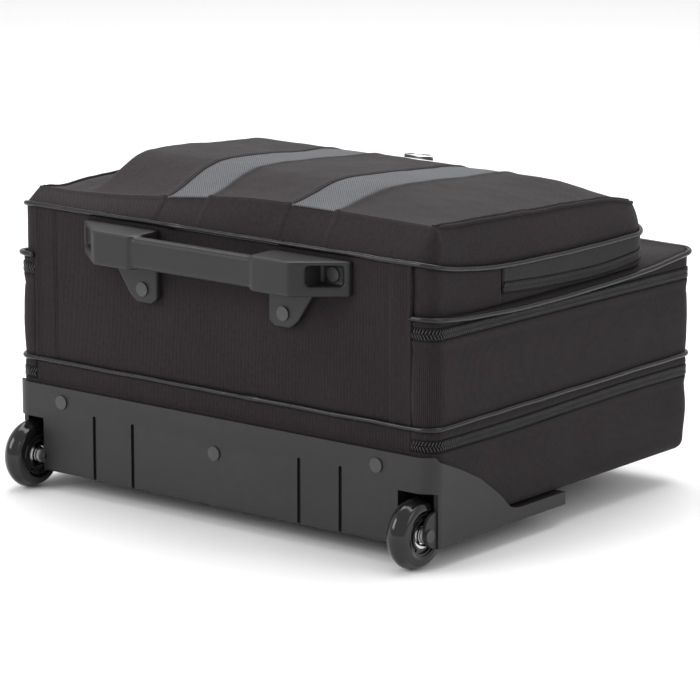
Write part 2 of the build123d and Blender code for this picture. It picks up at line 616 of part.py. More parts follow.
def build_lid_shell():
    """Skirt and deck of the front section."""
    low = MAIN_ZIP_Z + ZIP_HALF_BAND
    skirt = wall_ring(*BODY_OUTLINE, WALL, low, LEDGE_Z)
    deck = post(CASE_WIDTH, NEAR_Y, END_Y, CORNER_RADIUS, LEDGE_Z - DECK_THICKNESS, LEDGE_Z)
    save("lid_shell", skirt + deck - panel_zone(LID_BACK_GAP))


def build_pocket_pad():
    """Padded part of the pocket that is sewn down between the wheel end and the flap's fold."""
    outline = [(NEAR_Y + 1, LEDGE_Z)] + PAD_TOP + [(CREST_Y - FLAP_GAP, LEDGE_Z)]
    pad = side_profile(outline, -HALF_WIDTH, HALF_WIDTH)
    pad &= post(POCKET_WIDTH, NEAR_Y + 1, END_Y, CORNER_RADIUS, 0, FAR_AWAY)
    pad -= panel_zone(LID_BACK_GAP, PANEL_TOP_Z + PIPING_RADIUS + SEAM_GAP)
    inner_x = POCKET_WIDTH / 2 - POCKET_WALL
    hollow_start = NEAR_Y + WALL + LID_BACK_GAP + POCKET_WALL
    hollow = block(-inner_x, inner_x, hollow_start, CREST_Y, LEDGE_Z, PANEL_TOP_Z)
    save("pocket_pad", pad - hollow)


def build_pocket_flap():
    """Padded flap of the pocket, hollow underneath."""
    low = POCKET_ZIP_Z + ZIP_HALF_BAND
    near = CREST_Y + FLAP_GAP
    flap = side_profile([(near, low)] + FLAP_TOP + [(POCKET_END_Y, low)], -HALF_WIDTH, HALF_WIDTH)
    flap &= post(POCKET_WIDTH, NEAR_Y + 1, POCKET_END_Y, POCKET_CORNER_RADIUS, 0, FAR_AWAY)
    far = POCKET_END_Y - POCKET_WALL
    roof = CREST_Z - FLAP_ROOF_THICKNESS
    inner_x = POCKET_WIDTH / 2 - POCKET_WALL
    hollow_points = [(near - 1, low - 1), (near - 1, roof), (POCKET_END_Y - FLAP_ROOF_END, roof),
                     (far, FLAP_TOP[-1][1]), (far, low - 1)]
    hollow = side_profile(hollow_points, -inner_x, inner_x)
    hollow &= post(POCKET_WIDTH - 2 * POCKET_WALL, NEAR_Y, far, POCKET_CORNER_RADIUS - POCKET_WALL, 0, FAR_AWAY)
    save("pocket_flap", flap - hollow)


def strip_on(points, thickness, x0, x1):
    """A band of even height lying on a surface that is given as points (y, z)."""
    raised = [(y, z + thickness) for y, z in reversed(points)]
    return side_profile(points + raised, x0, x1)


def build_stripes():
    """Two webbing stripes, each in two lengths that meet at the flap's fold."""
    pad_line = PAD_TOP[1:]
    flap_line = FLAP_TOP[:-2]
    for name, line in (("pad_stripes", pad_line), ("flap_stripes", flap_line)):
        strips = []
        for centre in STRIPE_CENTRES:
            strips.append(strip_on(line, STRIPE_THICKNESS, centre - STRIPE_WIDTH / 2, centre + STRIPE_WIDTH / 2))
        save(name, Compound(children=strips))


def build_badge():
    """Plain oval badge that lies along the flap's slope."""
    (y0, z0), (y1, z1) = FLAP_TOP[3], FLAP_TOP[4]
    surface = z0 + (z1 - z0) * (BADGE_Y - y0) / (y1 - y0)
    slope = degrees(atan2(z1 - z0, y1 - y0))
    oval = extrude(Ellipse(BADGE_LENGTH / 2, BADGE_WIDTH / 2), BADGE_THICKNESS)
    save("badge", Pos(BADGE_X, BADGE_Y, surface) * Rot(slope, 0, 0) * oval)


# ---- trolley --------------------------------------------------------------------------------------------------
STAGE1_WIDTH = TUBE_WIDTH - 2 * (TUBE_WALL + TUBE_GAP)
STAGE1_HEIGHT = TUBE_HEIGHT - 2 * (TUBE_WALL + TUBE_GAP)
STAGE2_WIDTH = STAGE1_WIDTH - 2 * (TUBE_WALL + TUBE_GAP)
STAGE2_HEIGHT = STAGE1_HEIGHT - 2 * (TUBE_WALL + TUBE_GAP)
TUBE_END_Y = BEZEL_START_Y + TUBE_SEAT
STAGE1_START_Y = TUBE_START_Y + STAGE_STEP
STAGE1_END_Y = BEZEL_END_Y - 2 * STAGE_STEP
STAGE2_START_Y = STAGE1_START_Y + PLUG_LENGTH + STAGE_STEP
GRIP_Z = BACK_Z - SEAM_GAP - GRIP_HEIGHT / 2


def hollow_tubes(y0, y1, width, height, corner):
    """A pair of hollow tubes."""
    tubes = []
    for side in (-1, 1):
        bar = y_tube(side * TUBE_X, y0, y1, width, height, corner)
        bore = y_tube(side * TUBE_X, y0, y1, width - 2 * TUBE_WALL, height - 2 * TUBE_WALL, corner - TUBE_WALL)
        tubes.append(bar - bore)
    return Compound(children=tubes)


def tube_bars(y0, y1, width, height, corner):
    """A pair of solid bars, used for plugs and for the holes that tubes pass through."""
    return [y_tube(side * TUBE_X, y0, y1, width, height, corner) for side in (-1, 1)]


def build_trolley_housing():
    """Outer tubes in their bottom bracket and top bezel, with the screws that hold both to the back."""
    save("trolley_outer_tubes", hollow_tubes(TUBE_START_Y, TUBE_END_Y, TUBE_WIDTH, TUBE_HEIGHT, TUBE_CORNER))
    bracket = block(-BRACKET_WIDTH / 2, BRACKET_WIDTH / 2, BRACKET_START_Y, BRACKET_END_Y, BRACKET_BOTTOM_Z, BACK_Z)
    bezel = block(-BEZEL_WIDTH / 2, BEZEL_WIDTH / 2, BEZEL_START_Y, BEZEL_END_Y, 0, BACK_Z)
    bezel = fillet(bezel.edges().filter_by(Axis.Y).filter_by(lambda edge: edge.center().Z < 1), 8.0)
    for bar in tube_bars(TUBE_START_Y, BRACKET_END_Y, TUBE_WIDTH, TUBE_HEIGHT, TUBE_CORNER):
        bracket -= bar
    for bar in tube_bars(BEZEL_START_Y, TUBE_END_Y, TUBE_WIDTH, TUBE_HEIGHT, TUBE_CORNER):
        bezel -= bar
    slide = 2 * TUBE_GAP
    for bar in tube_bars(TUBE_END_Y, BEZEL_END_Y, STAGE1_WIDTH + slide, STAGE1_HEIGHT + slide, TUBE_CORNER - 1):
        bezel -= bar
    screws = []
    for x in (SCREW_INSET - BEZEL_WIDTH / 2, 0, BEZEL_WIDTH / 2 - SCREW_INSET):
        bezel_middle = (BEZEL_START_Y + BEZEL_END_Y) / 2
        screws.append((x, bezel_middle, SCREW_HEAD))
        bezel -= z_rod(SCREW_HEAD_RADIUS, x, bezel_middle, 0, SCREW_HEAD)
        bezel -= z_rod(SCREW_RADIUS, x, bezel_middle, SCREW_HEAD, BACK_Z)
    for x in (-TUBE_X / 2, TUBE_X / 2):
        bracket_middle = (BRACKET_START_Y + BRACKET_END_Y) / 2
        screws.append((x, bracket_middle, BRACKET_BOTTOM_Z + SCREW_HEAD))
        bracket -= z_rod(SCREW_HEAD_RADIUS, x, bracket_middle, BRACKET_BOTTOM_Z, BRACKET_BOTTOM_Z + SCREW_HEAD)
        bracket -= z_rod(SCREW_RADIUS, x, bracket_middle, BRACKET_BOTTOM_Z + SCREW_HEAD, BACK_Z)
    save("trolley_bracket", bracket)
    save("trolley_bezel", bezel)
    solids = []
    for x, y, seat in screws:
        head = z_rod(SCREW_HEAD_RADIUS, x, y, seat - SCREW_HEAD + 0.4, seat)
        solids.append(head + z_rod(SCREW_RADIUS, x, y, seat, BACK_Z))
    save("trolley_screws", Compound(children=solids))


def build_trolley_stages():
    """The two sliding stages and the grip."""
    corner = TUBE_CORNER - TUBE_WALL
    save("stage1_tubes", hollow_tubes(STAGE1_START_Y, STAGE1_END_Y, STAGE1_WIDTH, STAGE1_HEIGHT, corner + 0.2))
    stage1_plugs = tube_bars(STAGE1_START_Y, STAGE1_START_Y + PLUG_LENGTH, STAGE1_WIDTH - 2 * TUBE_WALL,
                             STAGE1_HEIGHT - 2 * TUBE_WALL, corner + 0.2 - TUBE_WALL)
    save("stage1_plugs", Compound(children=stage1_plugs))
    tube_top = GRIP_START_Y + GRIP_WALL
    save("stage2_tubes", hollow_tubes(STAGE2_START_Y, tube_top, STAGE2_WIDTH, STAGE2_HEIGHT, corner))
    plugs = tube_bars(STAGE2_START_Y, STAGE2_START_Y + PLUG_LENGTH, STAGE2_WIDTH - 2 * TUBE_WALL,
                      STAGE2_HEIGHT - 2 * TUBE_WALL, corner - TUBE_WALL)
    save("stage2_plugs", Compound(children=plugs))

    half_height = GRIP_HEIGHT / 2
    grip = block(-GRIP_HALF_LENGTH, GRIP_HALF_LENGTH, GRIP_START_Y, GRIP_END_Y, GRIP_Z - half_height,
                 GRIP_Z + half_height)
    grip = fillet(grip.edges().filter_by(Axis.X) + grip.edges().filter_by(Axis.Z), 4.0)
    cavity_x = TUBE_X + STAGE2_WIDTH / 2
    half_cavity = BUTTON_HEIGHT / 2 + 0.4
    grip -= block(-cavity_x, cavity_x, GRIP_START_Y + GRIP_WALL, GRIP_END_Y - GRIP_WALL, TUBE_Z - half_cavity,
                  TUBE_Z + half_cavity)
    for bar in tube_bars(GRIP_START_Y - 1, tube_top, STAGE2_WIDTH, STAGE2_HEIGHT, corner):
        grip -= bar
    window = BUTTON_HALF_LENGTH + 0.4
    grip -= block(-window, window, GRIP_END_Y - 2 * GRIP_WALL, GRIP_END_Y + 1, TUBE_Z - half_cavity,
                  TUBE_Z + half_cavity)
    save("trolley_grip", grip)


def build_release():
    """Release button with its crossbar, the two rods that it pushes, and its return spring."""
    half = BUTTON_HEIGHT / 2
    cross_end = GRIP_END_Y - GRIP_WALL - 0.3
    cross_start = cross_end - 4.0
    bar_x = TUBE_X + ROD_RADIUS
    button = block(-bar_x, bar_x, cross_start, cross_end, TUBE_Z - half, TUBE_Z + half)
    button += block(-BUTTON_HALF_LENGTH, BUTTON_HALF_LENGTH, cross_end, FAR_REACH, TUBE_Z - half, TUBE_Z + half)
    save("release_button", button)
    rods = []
    for side in (-1, 1):
        rods.append(y_rod(ROD_RADIUS, side * TUBE_X, STAGE2_START_Y + 2 * PLUG_LENGTH, cross_start, TUBE_Z))
    save("release_rods", Compound(children=rods))
    spring_start = GRIP_START_Y + GRIP_WALL
    spring = y_rod(4.0, 0, spring_start, cross_start, TUBE_Z) - y_rod(3.0, 0, spring_start, cross_start, TUBE_Z)
    save("button_spring", spring)


# ---- zip sliders ----------------------------------------------------------------------------------------------
PULL_PIN_OUT = SLIDER_THICKNESS + PULL_EYE_RADIUS + 0.2


def build_slider(name, x, face_y, z, lift):
    """A slider with two ears and a pin, and the pull that turns on the pin, lifted from hanging by some degrees."""
    back = face_y + SLIDER_GAP
    pin_y = back + PULL_PIN_OUT
    half = PULL_WIDTH / 2 + 0.3
    ear = 1.4
    body = block(x - SLIDER_LENGTH / 2, x + SLIDER_LENGTH / 2, back, back + SLIDER_THICKNESS, z - SLIDER_HEIGHT / 2,
                 z + SLIDER_HEIGHT / 2)
    for side in (-1, 1):
        xs = sorted((x + side * half, x + side * (half + ear)))
        body += block(*xs, back + SLIDER_THICKNESS, pin_y + PIN_RADIUS + 0.6, z - 1.5, z + 1.5)
    body += x_rod(PIN_RADIUS, x - half, x + half, pin_y, z)
    save(f"{name}_slider", body)
    bore = PIN_RADIUS + PIN_CLEARANCE
    width = PULL_WIDTH / 2
    tab = x_rod(PULL_EYE_RADIUS, -width, width, 0, 0)
    tab += block(-width, width, -PULL_THICKNESS / 2, PULL_THICKNESS / 2, -PULL_LENGTH, 0)
    tab -= x_rod(bore, -width - 1, width + 1, 0, 0)
    save(f"{name}_pull", Pos(x, pin_y, z) * Rot(lift, 0, 0) * tab)
    print(name, "pull pin at", x, round(pin_y + Y_SHIFT, 3), z)


def build_sliders():
    """Two sliders meet on the top end for each compartment, and one stands at the left of the pocket."""
    face = END_Y + ZIP_PROUD
    for name, z in (("rear_zip", REAR_ZIP_Z), ("main_zip", MAIN_ZIP_Z)):
        for side_name, side in (("left", -1), ("right", 1)):
            build_slider(f"{name}_{side_name}", side * SLIDER_LENGTH, face, z, 0)
    build_slider("pocket_zip", POCKET_SLIDER_X, POCKET_END_Y + ZIP_PROUD, POCKET_ZIP_Z, 74.0)


def build_everything():
    """Write every piece, then print the places that joints turn about."""
    os.makedirs("parts", exist_ok=True)
    build_rear_shell()
    build_back_board_and_pad()
    build_kick_plate()
    build_kick_rivets()
    build_wheels()
    build_zips()
    build_piping()
    build_mid_shell()
    build_wheel_end_panel()
    build_grab_handle()
    build_carry_handle()
    build_lid_shell()
    build_pocket_pad()
    build_pocket_flap()
    build_stripes()
    build_badge()
    build_trolley_housing()
    build_trolley_stages()
    build_release()
    build_sliders()
    print("Y shift", Y_SHIFT)
    print("fold axis", PIPING_Y + Y_SHIFT, FOLD_Z)
    print("lid axis", PIPING_Y + Y_SHIFT, PANEL_TOP_Z)
    print("flap axis", CREST_Y + Y_SHIFT, CREST_Z + STRIPE_THICKNESS)
    print("wheel axis", WHEEL_Y + Y_SHIFT, AXLE_Z)


build_everything()
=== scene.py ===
# %% [markdown]
# # A rolling laptop case
#
# The case lies on its back. Rigid parts (kick plate, hubs, trolley, sliders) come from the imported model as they
# are. Everything soft is sewn here: fabric walls, padded pocket, coil zips, glossy piping and webbing. Each soft
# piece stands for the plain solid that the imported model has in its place.

# %% Load the frame
import json
import math

import bpy
import numpy as np
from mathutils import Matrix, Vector

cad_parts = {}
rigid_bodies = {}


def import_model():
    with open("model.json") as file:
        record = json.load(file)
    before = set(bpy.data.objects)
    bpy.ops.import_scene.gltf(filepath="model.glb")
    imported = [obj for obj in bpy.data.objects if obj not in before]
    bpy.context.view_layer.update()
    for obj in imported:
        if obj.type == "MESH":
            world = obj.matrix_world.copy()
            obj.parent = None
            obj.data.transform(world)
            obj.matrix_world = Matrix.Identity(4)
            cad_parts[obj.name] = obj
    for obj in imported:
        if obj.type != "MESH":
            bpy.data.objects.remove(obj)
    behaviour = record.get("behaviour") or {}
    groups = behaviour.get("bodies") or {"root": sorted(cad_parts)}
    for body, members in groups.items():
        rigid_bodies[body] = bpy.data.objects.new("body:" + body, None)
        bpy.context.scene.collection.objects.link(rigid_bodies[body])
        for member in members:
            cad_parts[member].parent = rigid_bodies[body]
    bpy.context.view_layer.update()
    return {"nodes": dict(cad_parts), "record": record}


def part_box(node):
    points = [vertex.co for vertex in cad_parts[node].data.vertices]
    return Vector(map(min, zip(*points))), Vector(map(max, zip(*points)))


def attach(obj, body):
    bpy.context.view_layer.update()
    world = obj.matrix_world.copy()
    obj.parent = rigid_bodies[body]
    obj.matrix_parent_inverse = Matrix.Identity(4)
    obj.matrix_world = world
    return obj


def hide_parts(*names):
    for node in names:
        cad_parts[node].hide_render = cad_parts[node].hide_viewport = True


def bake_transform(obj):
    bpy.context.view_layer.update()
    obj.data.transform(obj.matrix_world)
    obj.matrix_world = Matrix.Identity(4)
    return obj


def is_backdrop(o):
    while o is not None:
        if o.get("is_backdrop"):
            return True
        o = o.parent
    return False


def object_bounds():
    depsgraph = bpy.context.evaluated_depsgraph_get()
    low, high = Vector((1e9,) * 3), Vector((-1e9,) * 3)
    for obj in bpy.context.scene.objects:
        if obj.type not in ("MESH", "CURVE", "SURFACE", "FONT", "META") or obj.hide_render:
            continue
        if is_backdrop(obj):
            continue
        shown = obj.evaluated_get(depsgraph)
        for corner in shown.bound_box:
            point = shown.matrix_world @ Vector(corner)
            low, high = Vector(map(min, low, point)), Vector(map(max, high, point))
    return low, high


for leftover in list(bpy.data.objects):
    bpy.data.objects.remove(leftover)
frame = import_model()

# %% [markdown]
# ## Sizes that the pieces share
#
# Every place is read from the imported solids, so the sewn pieces fall where the solids are. Only sizes that a box
# can't tell, such as the corner radius of the body, are written here. Names ending in LINE are heights.

# %% Places read from the frame
MM = 0.001
shell_low, shell_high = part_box("rear_shell")
HALF = shell_high.x
NEAR = shell_low.y
FAR = shell_high.y
BACK = shell_low.z
CORNER = 13 * MM
POCKET_CORNER = 30 * MM

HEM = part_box("wheel_end_panel")[1].x
flap_low, flap_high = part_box("pocket_flap")
POCKET_HALF = flap_high.x
POCKET_FAR = flap_high.y
CREST = flap_low.y
CREST_LINE = flap_high.z


def middle_height(node):
    """Height of the middle of a node's box."""
    low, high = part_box(node)
    return (low.z + high.z) / 2


REAR_ZIP_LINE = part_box("rear_zip_lower_row")[1].z
MAIN_ZIP_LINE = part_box("main_zip_lower_row")[1].z
POCKET_ZIP_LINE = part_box("pocket_zip_lower_row")[1].z
FOLD_LINE = middle_height("mid_piping")
LID_LINE = middle_height("lid_piping")
PANEL_LINE = middle_height("panel_top_piping")
LEDGE_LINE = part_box("lid_shell")[1].z
DIVIDER_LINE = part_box("divider_board")[0].z
print("body, mm:", round(2000 * HALF), "x", round(1000 * (FAR - NEAR)), "zips at", round(1000 * REAR_ZIP_LINE),
      round(1000 * MAIN_ZIP_LINE), round(1000 * POCKET_ZIP_LINE))

# %% [markdown]
# ## Camera, floor and light
#
# The view is a long lens from the right of the wheel end, a little above. The light is that of a white studio: a
# pale floor, a bright even surround, and broad soft lamps. A black object needs wide lamps, because it is seen by
# what its sheen picks up more than by its own colour.

# %% Camera
target = Vector((0.3, -4.2, 117.4)) * MM
camera_data = bpy.data.cameras.new("camera")
camera_data.lens = 204.18
camera_data.sensor_width = 36
camera = bpy.data.objects.new("camera", camera_data)
camera.location = Vector((2064.7, -2592.75, 873.2)) * MM
camera.rotation_euler = (target - camera.location).to_track_quat("-Z", "Y").to_euler()
bpy.context.collection.objects.link(camera)
bpy.context.scene.camera = camera
bpy.context.scene.view_settings.view_transform = "Standard"
print("camera is", round((camera.location - target).length, 2), "m away")


# %% Nodes are added and wired by two short helpers
def add(tree, kind, values=None, **settings):
    """Add a node. values sets or links its inputs, and settings its own properties."""
    made = tree.nodes.new(kind)
    for name, value in settings.items():
        setattr(made, name, value)
    for name, value in (values or {}).items():
        if isinstance(value, bpy.types.NodeSocket):
            tree.links.new(value, made.inputs[name])
        else:
            made.inputs[name].default_value = value
    return made


def calc(tree, operation, first, second=0.0):
    """One step of arithmetic on two values or sockets."""
    return add(tree, "ShaderNodeMath", {0: first, 1: second}, operation=operation).outputs[0]


# %% Floor, surround and lamps
def simple_material(name, color, roughness):
    """A plain finish, for the stage only."""
    material = bpy.data.materials.new(name)
    material.use_nodes = True
    shader = material.node_tree.nodes["Principled BSDF"]
    shader.inputs["Base Color"].default_value = (*color, 1)
    shader.inputs["Roughness"].default_value = roughness
    return material


FLOOR_HALF = 6.0
floor_mesh = bpy.data.meshes.new("floor")
floor_corners = [(-1, -1), (1, -1), (1, 1), (-1, 1)]
floor_mesh.from_pydata([(x * FLOOR_HALF, y * FLOOR_HALF, 0) for x, y in floor_corners], [], [(0, 1, 2, 3)])
floor = bpy.data.objects.new("floor", floor_mesh)
floor.data.materials.append(simple_material("pale_floor", (0.86, 0.86, 0.86), 0.6))
bpy.context.collection.objects.link(floor)
floor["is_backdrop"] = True

world = bpy.data.worlds.new("surround")
world.use_nodes = True
world.node_tree.nodes["Background"].inputs["Color"].default_value = (1, 1, 1, 1)
world.node_tree.nodes["Background"].inputs["Strength"].default_value = 0.85
bpy.context.scene.world = world


def lamp(name, place, size, power):
    """A square soft lamp that faces the middle of the case."""
    data = bpy.data.lights.new(name, "AREA")
    data.energy = power
    data.size = size
    light = bpy.data.objects.new(name, data)
    light.location = place
    light.rotation_euler = (Vector((0, 0, 0.12)) - Vector(place)).to_track_quat("-Z", "Y").to_euler()
    bpy.context.collection.objects.link(light)


lamp("over_wheel_end", (-1.2, -2.6, 1.7), 1.6, 48)
lamp("overhead", (-0.3, 0.6, 2.4), 2.2, 60)
lamp("right_side", (2.8, 0.3, 1.3), 1.4, 12)

# %% [markdown]
# ## Effects that several finishes share
#
# Each effect is a node group with named inputs, placed in a material with its own values. Cloth is a rib and a
# thread crossing it, so *weave* makes both from the cloth's own coordinates, which are in metres along the cut
# piece: the pitch then means a real thread. *Grain* is the fine pebble of moulded plastic. *Wear* lightens raised
# edges a little and dulls the rest in patches, as handling and dust do.


# %% A node group with named sockets
def new_group(name, inputs, outputs):
    """A shader node group. inputs are (name, default), where a default of None means a vector."""
    tree = bpy.data.node_groups.new(name, "ShaderNodeTree")
    for label, default in inputs:
        kind = "NodeSocketVector" if default is None else "NodeSocketFloat"
        socket = tree.interface.new_socket(name=label, in_out="INPUT", socket_type=kind)
        if default is not None:
            socket.default_value = default
    for label in outputs:
        tree.interface.new_socket(name=label, in_out="OUTPUT", socket_type="NodeSocketFloat")
    return tree, tree.nodes.new("NodeGroupInput").outputs, tree.nodes.new("NodeGroupOutput").inputs


# %% Weave: ribs one way, threads the other
def build_weave():
    """Height of a ribbed cloth, and Shade, a colour factor: painted shade in the valleys between ribs and threads,
    plus patchy tone. Slant 0 gives straight ribs, and 1 a twill at 45 degrees.
    """
    tree, given, out = new_group("weave", [("Cloth", None), ("Rib Pitch", 0.0014), ("Thread Pitch", 0.0009),
                                           ("Slant", 0.0)], ["Height", "Shade"])
    cloth = add(tree, "ShaderNodeSeparateXYZ", {0: given["Cloth"]}).outputs
    slanted = calc(tree, "ADD", cloth["X"], calc(tree, "MULTIPLY", cloth["Y"], given["Slant"]))
    across = calc(tree, "DIVIDE", slanted, given["Rib Pitch"])
    rib = calc(tree, "ABSOLUTE", calc(tree, "SINE", calc(tree, "MULTIPLY", across, math.pi)))
    step = calc(tree, "MULTIPLY", calc(tree, "FLOOR", across), 0.5)
    along = calc(tree, "ADD", calc(tree, "DIVIDE", cloth["Y"], given["Thread Pitch"]), step)
    thread = calc(tree, "ABSOLUTE", calc(tree, "SINE", calc(tree, "MULTIPLY", along, math.pi)))
    crossed = calc(tree, "MULTIPLY", rib, calc(tree, "ADD", calc(tree, "MULTIPLY", thread, 0.45), 0.55))
    slub = add(tree, "ShaderNodeTexNoise", {"Vector": given["Cloth"], "Scale": 260.0, "Detail": 2.0}).outputs["Fac"]
    height = calc(tree, "ADD", crossed, calc(tree, "MULTIPLY", slub, 0.5))
    tree.links.new(height, out["Height"])
    patch = add(tree, "ShaderNodeTexNoise", {"Vector": given["Cloth"], "Scale": 14.0, "Detail": 3.0}).outputs["Fac"]
    # Shade follows the height, so the valleys between ribs and threads are darker: painted shade. The patch noise
    # adds random tone.
    shade = calc(tree, "ADD", calc(tree, "MULTIPLY", height, 1.3), calc(tree, "MULTIPLY", patch, 0.4))
    tree.links.new(calc(tree, "SUBTRACT", shade, 0.55), out["Shade"])
    return tree


WEAVE = build_weave()


# %% Grain of moulded plastic
def build_grain():
    """Height and shade of a fine pebbled surface."""
    tree, given, out = new_group("grain", [("Place", None), ("Density", 1400.0)], ["Height", "Shade"])
    pebbles = {"Vector": given["Place"], "Scale": given["Density"]}
    cells = add(tree, "ShaderNodeTexVoronoi", pebbles).outputs["Distance"]
    cloud = add(tree, "ShaderNodeTexNoise", {"Vector": given["Place"], "Scale": 18.0, "Detail": 4.0}).outputs["Fac"]
    tree.links.new(cells, out["Height"])
    shade = calc(tree, "ADD", calc(tree, "MULTIPLY", cells, 0.35), calc(tree, "MULTIPLY", cloud, 0.6))
    tree.links.new(shade, out["Shade"])
    return tree


GRAIN = build_grain()


# %% Wear and dust
def build_wear():
    """Two masks: Rub is high on raised edges in broken patches, and Dust is a faint even cloud."""
    tree, given, out = new_group("wear", [("Place", None), ("Edge", 0.5), ("Patch Scale", 60.0)], ["Rub", "Dust"])
    patch = add(tree, "ShaderNodeTexNoise", {"Vector": given["Place"], "Scale": given["Patch Scale"],
                                             "Detail": 5.0}).outputs["Fac"]
    raised = calc(tree, "MULTIPLY", calc(tree, "SUBTRACT", given["Edge"], 0.52), 7.0)
    rub = add(tree, "ShaderNodeClamp", {0: calc(tree, "MULTIPLY", raised, patch)}).outputs[0]
    tree.links.new(rub, out["Rub"])
    cloud = add(tree, "ShaderNodeTexNoise", {"Vector": given["Place"], "Scale": 9.0, "Detail": 6.0}).outputs["Fac"]
    dust = add(tree, "ShaderNodeClamp", {0: calc(tree, "MULTIPLY", calc(tree, "SUBTRACT", cloud, 0.42), 2.5)})
    tree.links.new(dust.outputs[0], out["Dust"])
    return tree


WEAR = build_wear()
print("effects:", [tree.name for tree in (WEAVE, GRAIN, WEAR)])

# %% [markdown]
# ## Finishes
#
# Cloth reads as cloth by three things: a weave at the right pitch, a rough surface, and a soft sheen at grazing
# angles from the loose fibres. Plastics differ mainly in roughness: the kick plate is a matt pebble, the piping a
# soft gloss, the tyres almost a mirror.


# %% Placing an effect and mixing two colours
def use_group(tree, group, **values):
    """Place a node group and set or link its inputs, whose names have _ for a space."""
    made = add(tree, "ShaderNodeGroup", node_tree=group)
    for name, value in values.items():
        socket = made.inputs[name.replace("_", " ")]
        if isinstance(value, bpy.types.NodeSocket):
            tree.links.new(value, socket)
        else:
            socket.default_value = value
    return made.outputs


def two_colors(tree, amount, dark, light):
    """A colour between two others."""
    mix = add(tree, "ShaderNodeMix", {"Factor": amount}, data_type="RGBA")
    mix.inputs[6].default_value = (*dark, 1)
    mix.inputs[7].default_value = (*light, 1)
    return mix.outputs[2]


def bare_material(name):
    """A new material, its node tree, its shader and its coordinates node."""
    material = bpy.data.materials.new(name)
    material.use_nodes = True
    tree = material.node_tree
    return material, tree, tree.nodes["Principled BSDF"], add(tree, "ShaderNodeTexCoord").outputs


def level(tree, value, low, high):
    """Spread a 0 to 1 value between two levels."""
    return add(tree, "ShaderNodeMapRange", {"Value": value, "To Min": low, "To Max": high}).outputs[0]


# %% Cloth
def cloth_material(name, dark, light, rib, thread, slant=0.0, depth=0.6, rough=0.8, sheen=0.04):
    """Woven cloth whose coordinates are metres along the cut piece."""
    material, tree, shader, coords = bare_material(name)
    weave = use_group(tree, WEAVE, Cloth=coords["UV"], Rib_Pitch=rib, Thread_Pitch=thread, Slant=slant)
    wear = use_group(tree, WEAR, Place=coords["Object"], Edge=0.5, Patch_Scale=45.0)
    # The base colour takes painted shade in the weave's valleys, random tone, and a little dust.
    shade = calc(tree, "ADD", weave["Shade"], calc(tree, "MULTIPLY", wear["Dust"], 0.18))
    tree.links.new(two_colors(tree, shade, dark, light), shader.inputs["Base Color"])
    tree.links.new(level(tree, weave["Shade"], rough + 0.1, rough - 0.1), shader.inputs["Roughness"])
    bump = add(tree, "ShaderNodeBump", {"Height": weave["Height"], "Strength": depth, "Distance": 0.0005})
    tree.links.new(bump.outputs[0], shader.inputs["Normal"])
    shader.inputs["Sheen Weight"].default_value = sheen
    shader.inputs["Sheen Roughness"].default_value = 0.45
    shader.inputs["Specular IOR Level"].default_value = 0.12
    return material


BLACK = (0.0034, 0.0024, 0.0028)
SIDE_CLOTH = cloth_material("side_cloth", BLACK, (0.0215, 0.0165, 0.0185), 0.0015, 0.0010)
TWILL_CLOTH = cloth_material("twill_cloth", BLACK, (0.0250, 0.0195, 0.0215), 0.0016, 0.0011, slant=0.8)
RIBBED_CLOTH = cloth_material("ribbed_cloth", (0.0040, 0.0030, 0.0034), (0.0310, 0.0255, 0.0275), 0.0019, 0.0012,
                              depth=0.5)
SMOOTH_CLOTH = cloth_material("smooth_cloth", (0.008, 0.007, 0.007), (0.022, 0.020, 0.021), 0.0007, 0.0007,
                              depth=0.15, rough=0.6)
LINING = cloth_material("lining", (0.050, 0.052, 0.056), (0.115, 0.118, 0.125), 0.0006, 0.0006, depth=0.12,
                        rough=0.65)
GREY_WEBBING = cloth_material("grey_webbing_cloth", (0.038, 0.040, 0.043), (0.108, 0.112, 0.120), 0.0022, 0.0013,
                              slant=0.9, depth=0.6, rough=0.75)
BLACK_WEBBING = cloth_material("black_webbing_cloth", (0.007, 0.007, 0.007), (0.034, 0.032, 0.032), 0.0024, 0.0014,
                               slant=0.9, depth=0.7, rough=0.7)
ZIP_TAPE = cloth_material("zip_tape_cloth", (0.005, 0.005, 0.005), (0.015, 0.014, 0.0145), 0.0009, 0.0008, depth=0.3)


# %% Plastic, rubber and metal
def hard_material(name, dark, light, rough, density=1400.0, depth=0.0, metallic=0.0, coat=0.0, rub=0.0):
    """A moulded, painted or metal surface. rub is how far worn edges lighten."""
    material, tree, shader, coords = bare_material(name)
    grain = use_group(tree, GRAIN, Place=coords["Object"], Density=density)
    edge = add(tree, "ShaderNodeNewGeometry").outputs["Pointiness"]
    wear = use_group(tree, WEAR, Place=coords["Object"], Edge=edge, Patch_Scale=80.0)
    shade = calc(tree, "ADD", grain["Shade"], calc(tree, "MULTIPLY", wear["Rub"], rub))
    tree.links.new(two_colors(tree, shade, dark, light), shader.inputs["Base Color"])
    dusted = calc(tree, "ADD", grain["Shade"], calc(tree, "MULTIPLY", wear["Dust"], 0.3))
    tree.links.new(level(tree, dusted, rough * 0.85, rough * 1.25), shader.inputs["Roughness"])
    shader.inputs["Metallic"].default_value = metallic
    shader.inputs["Specular IOR Level"].default_value = 0.35
    shader.inputs["Coat Weight"].default_value = coat
    shader.inputs["Coat Roughness"].default_value = 0.08
    if depth:
        bump = add(tree, "ShaderNodeBump", {"Height": grain["Height"], "Strength": depth, "Distance": 0.0003})
        tree.links.new(bump.outputs[0], shader.inputs["Normal"])
    return material


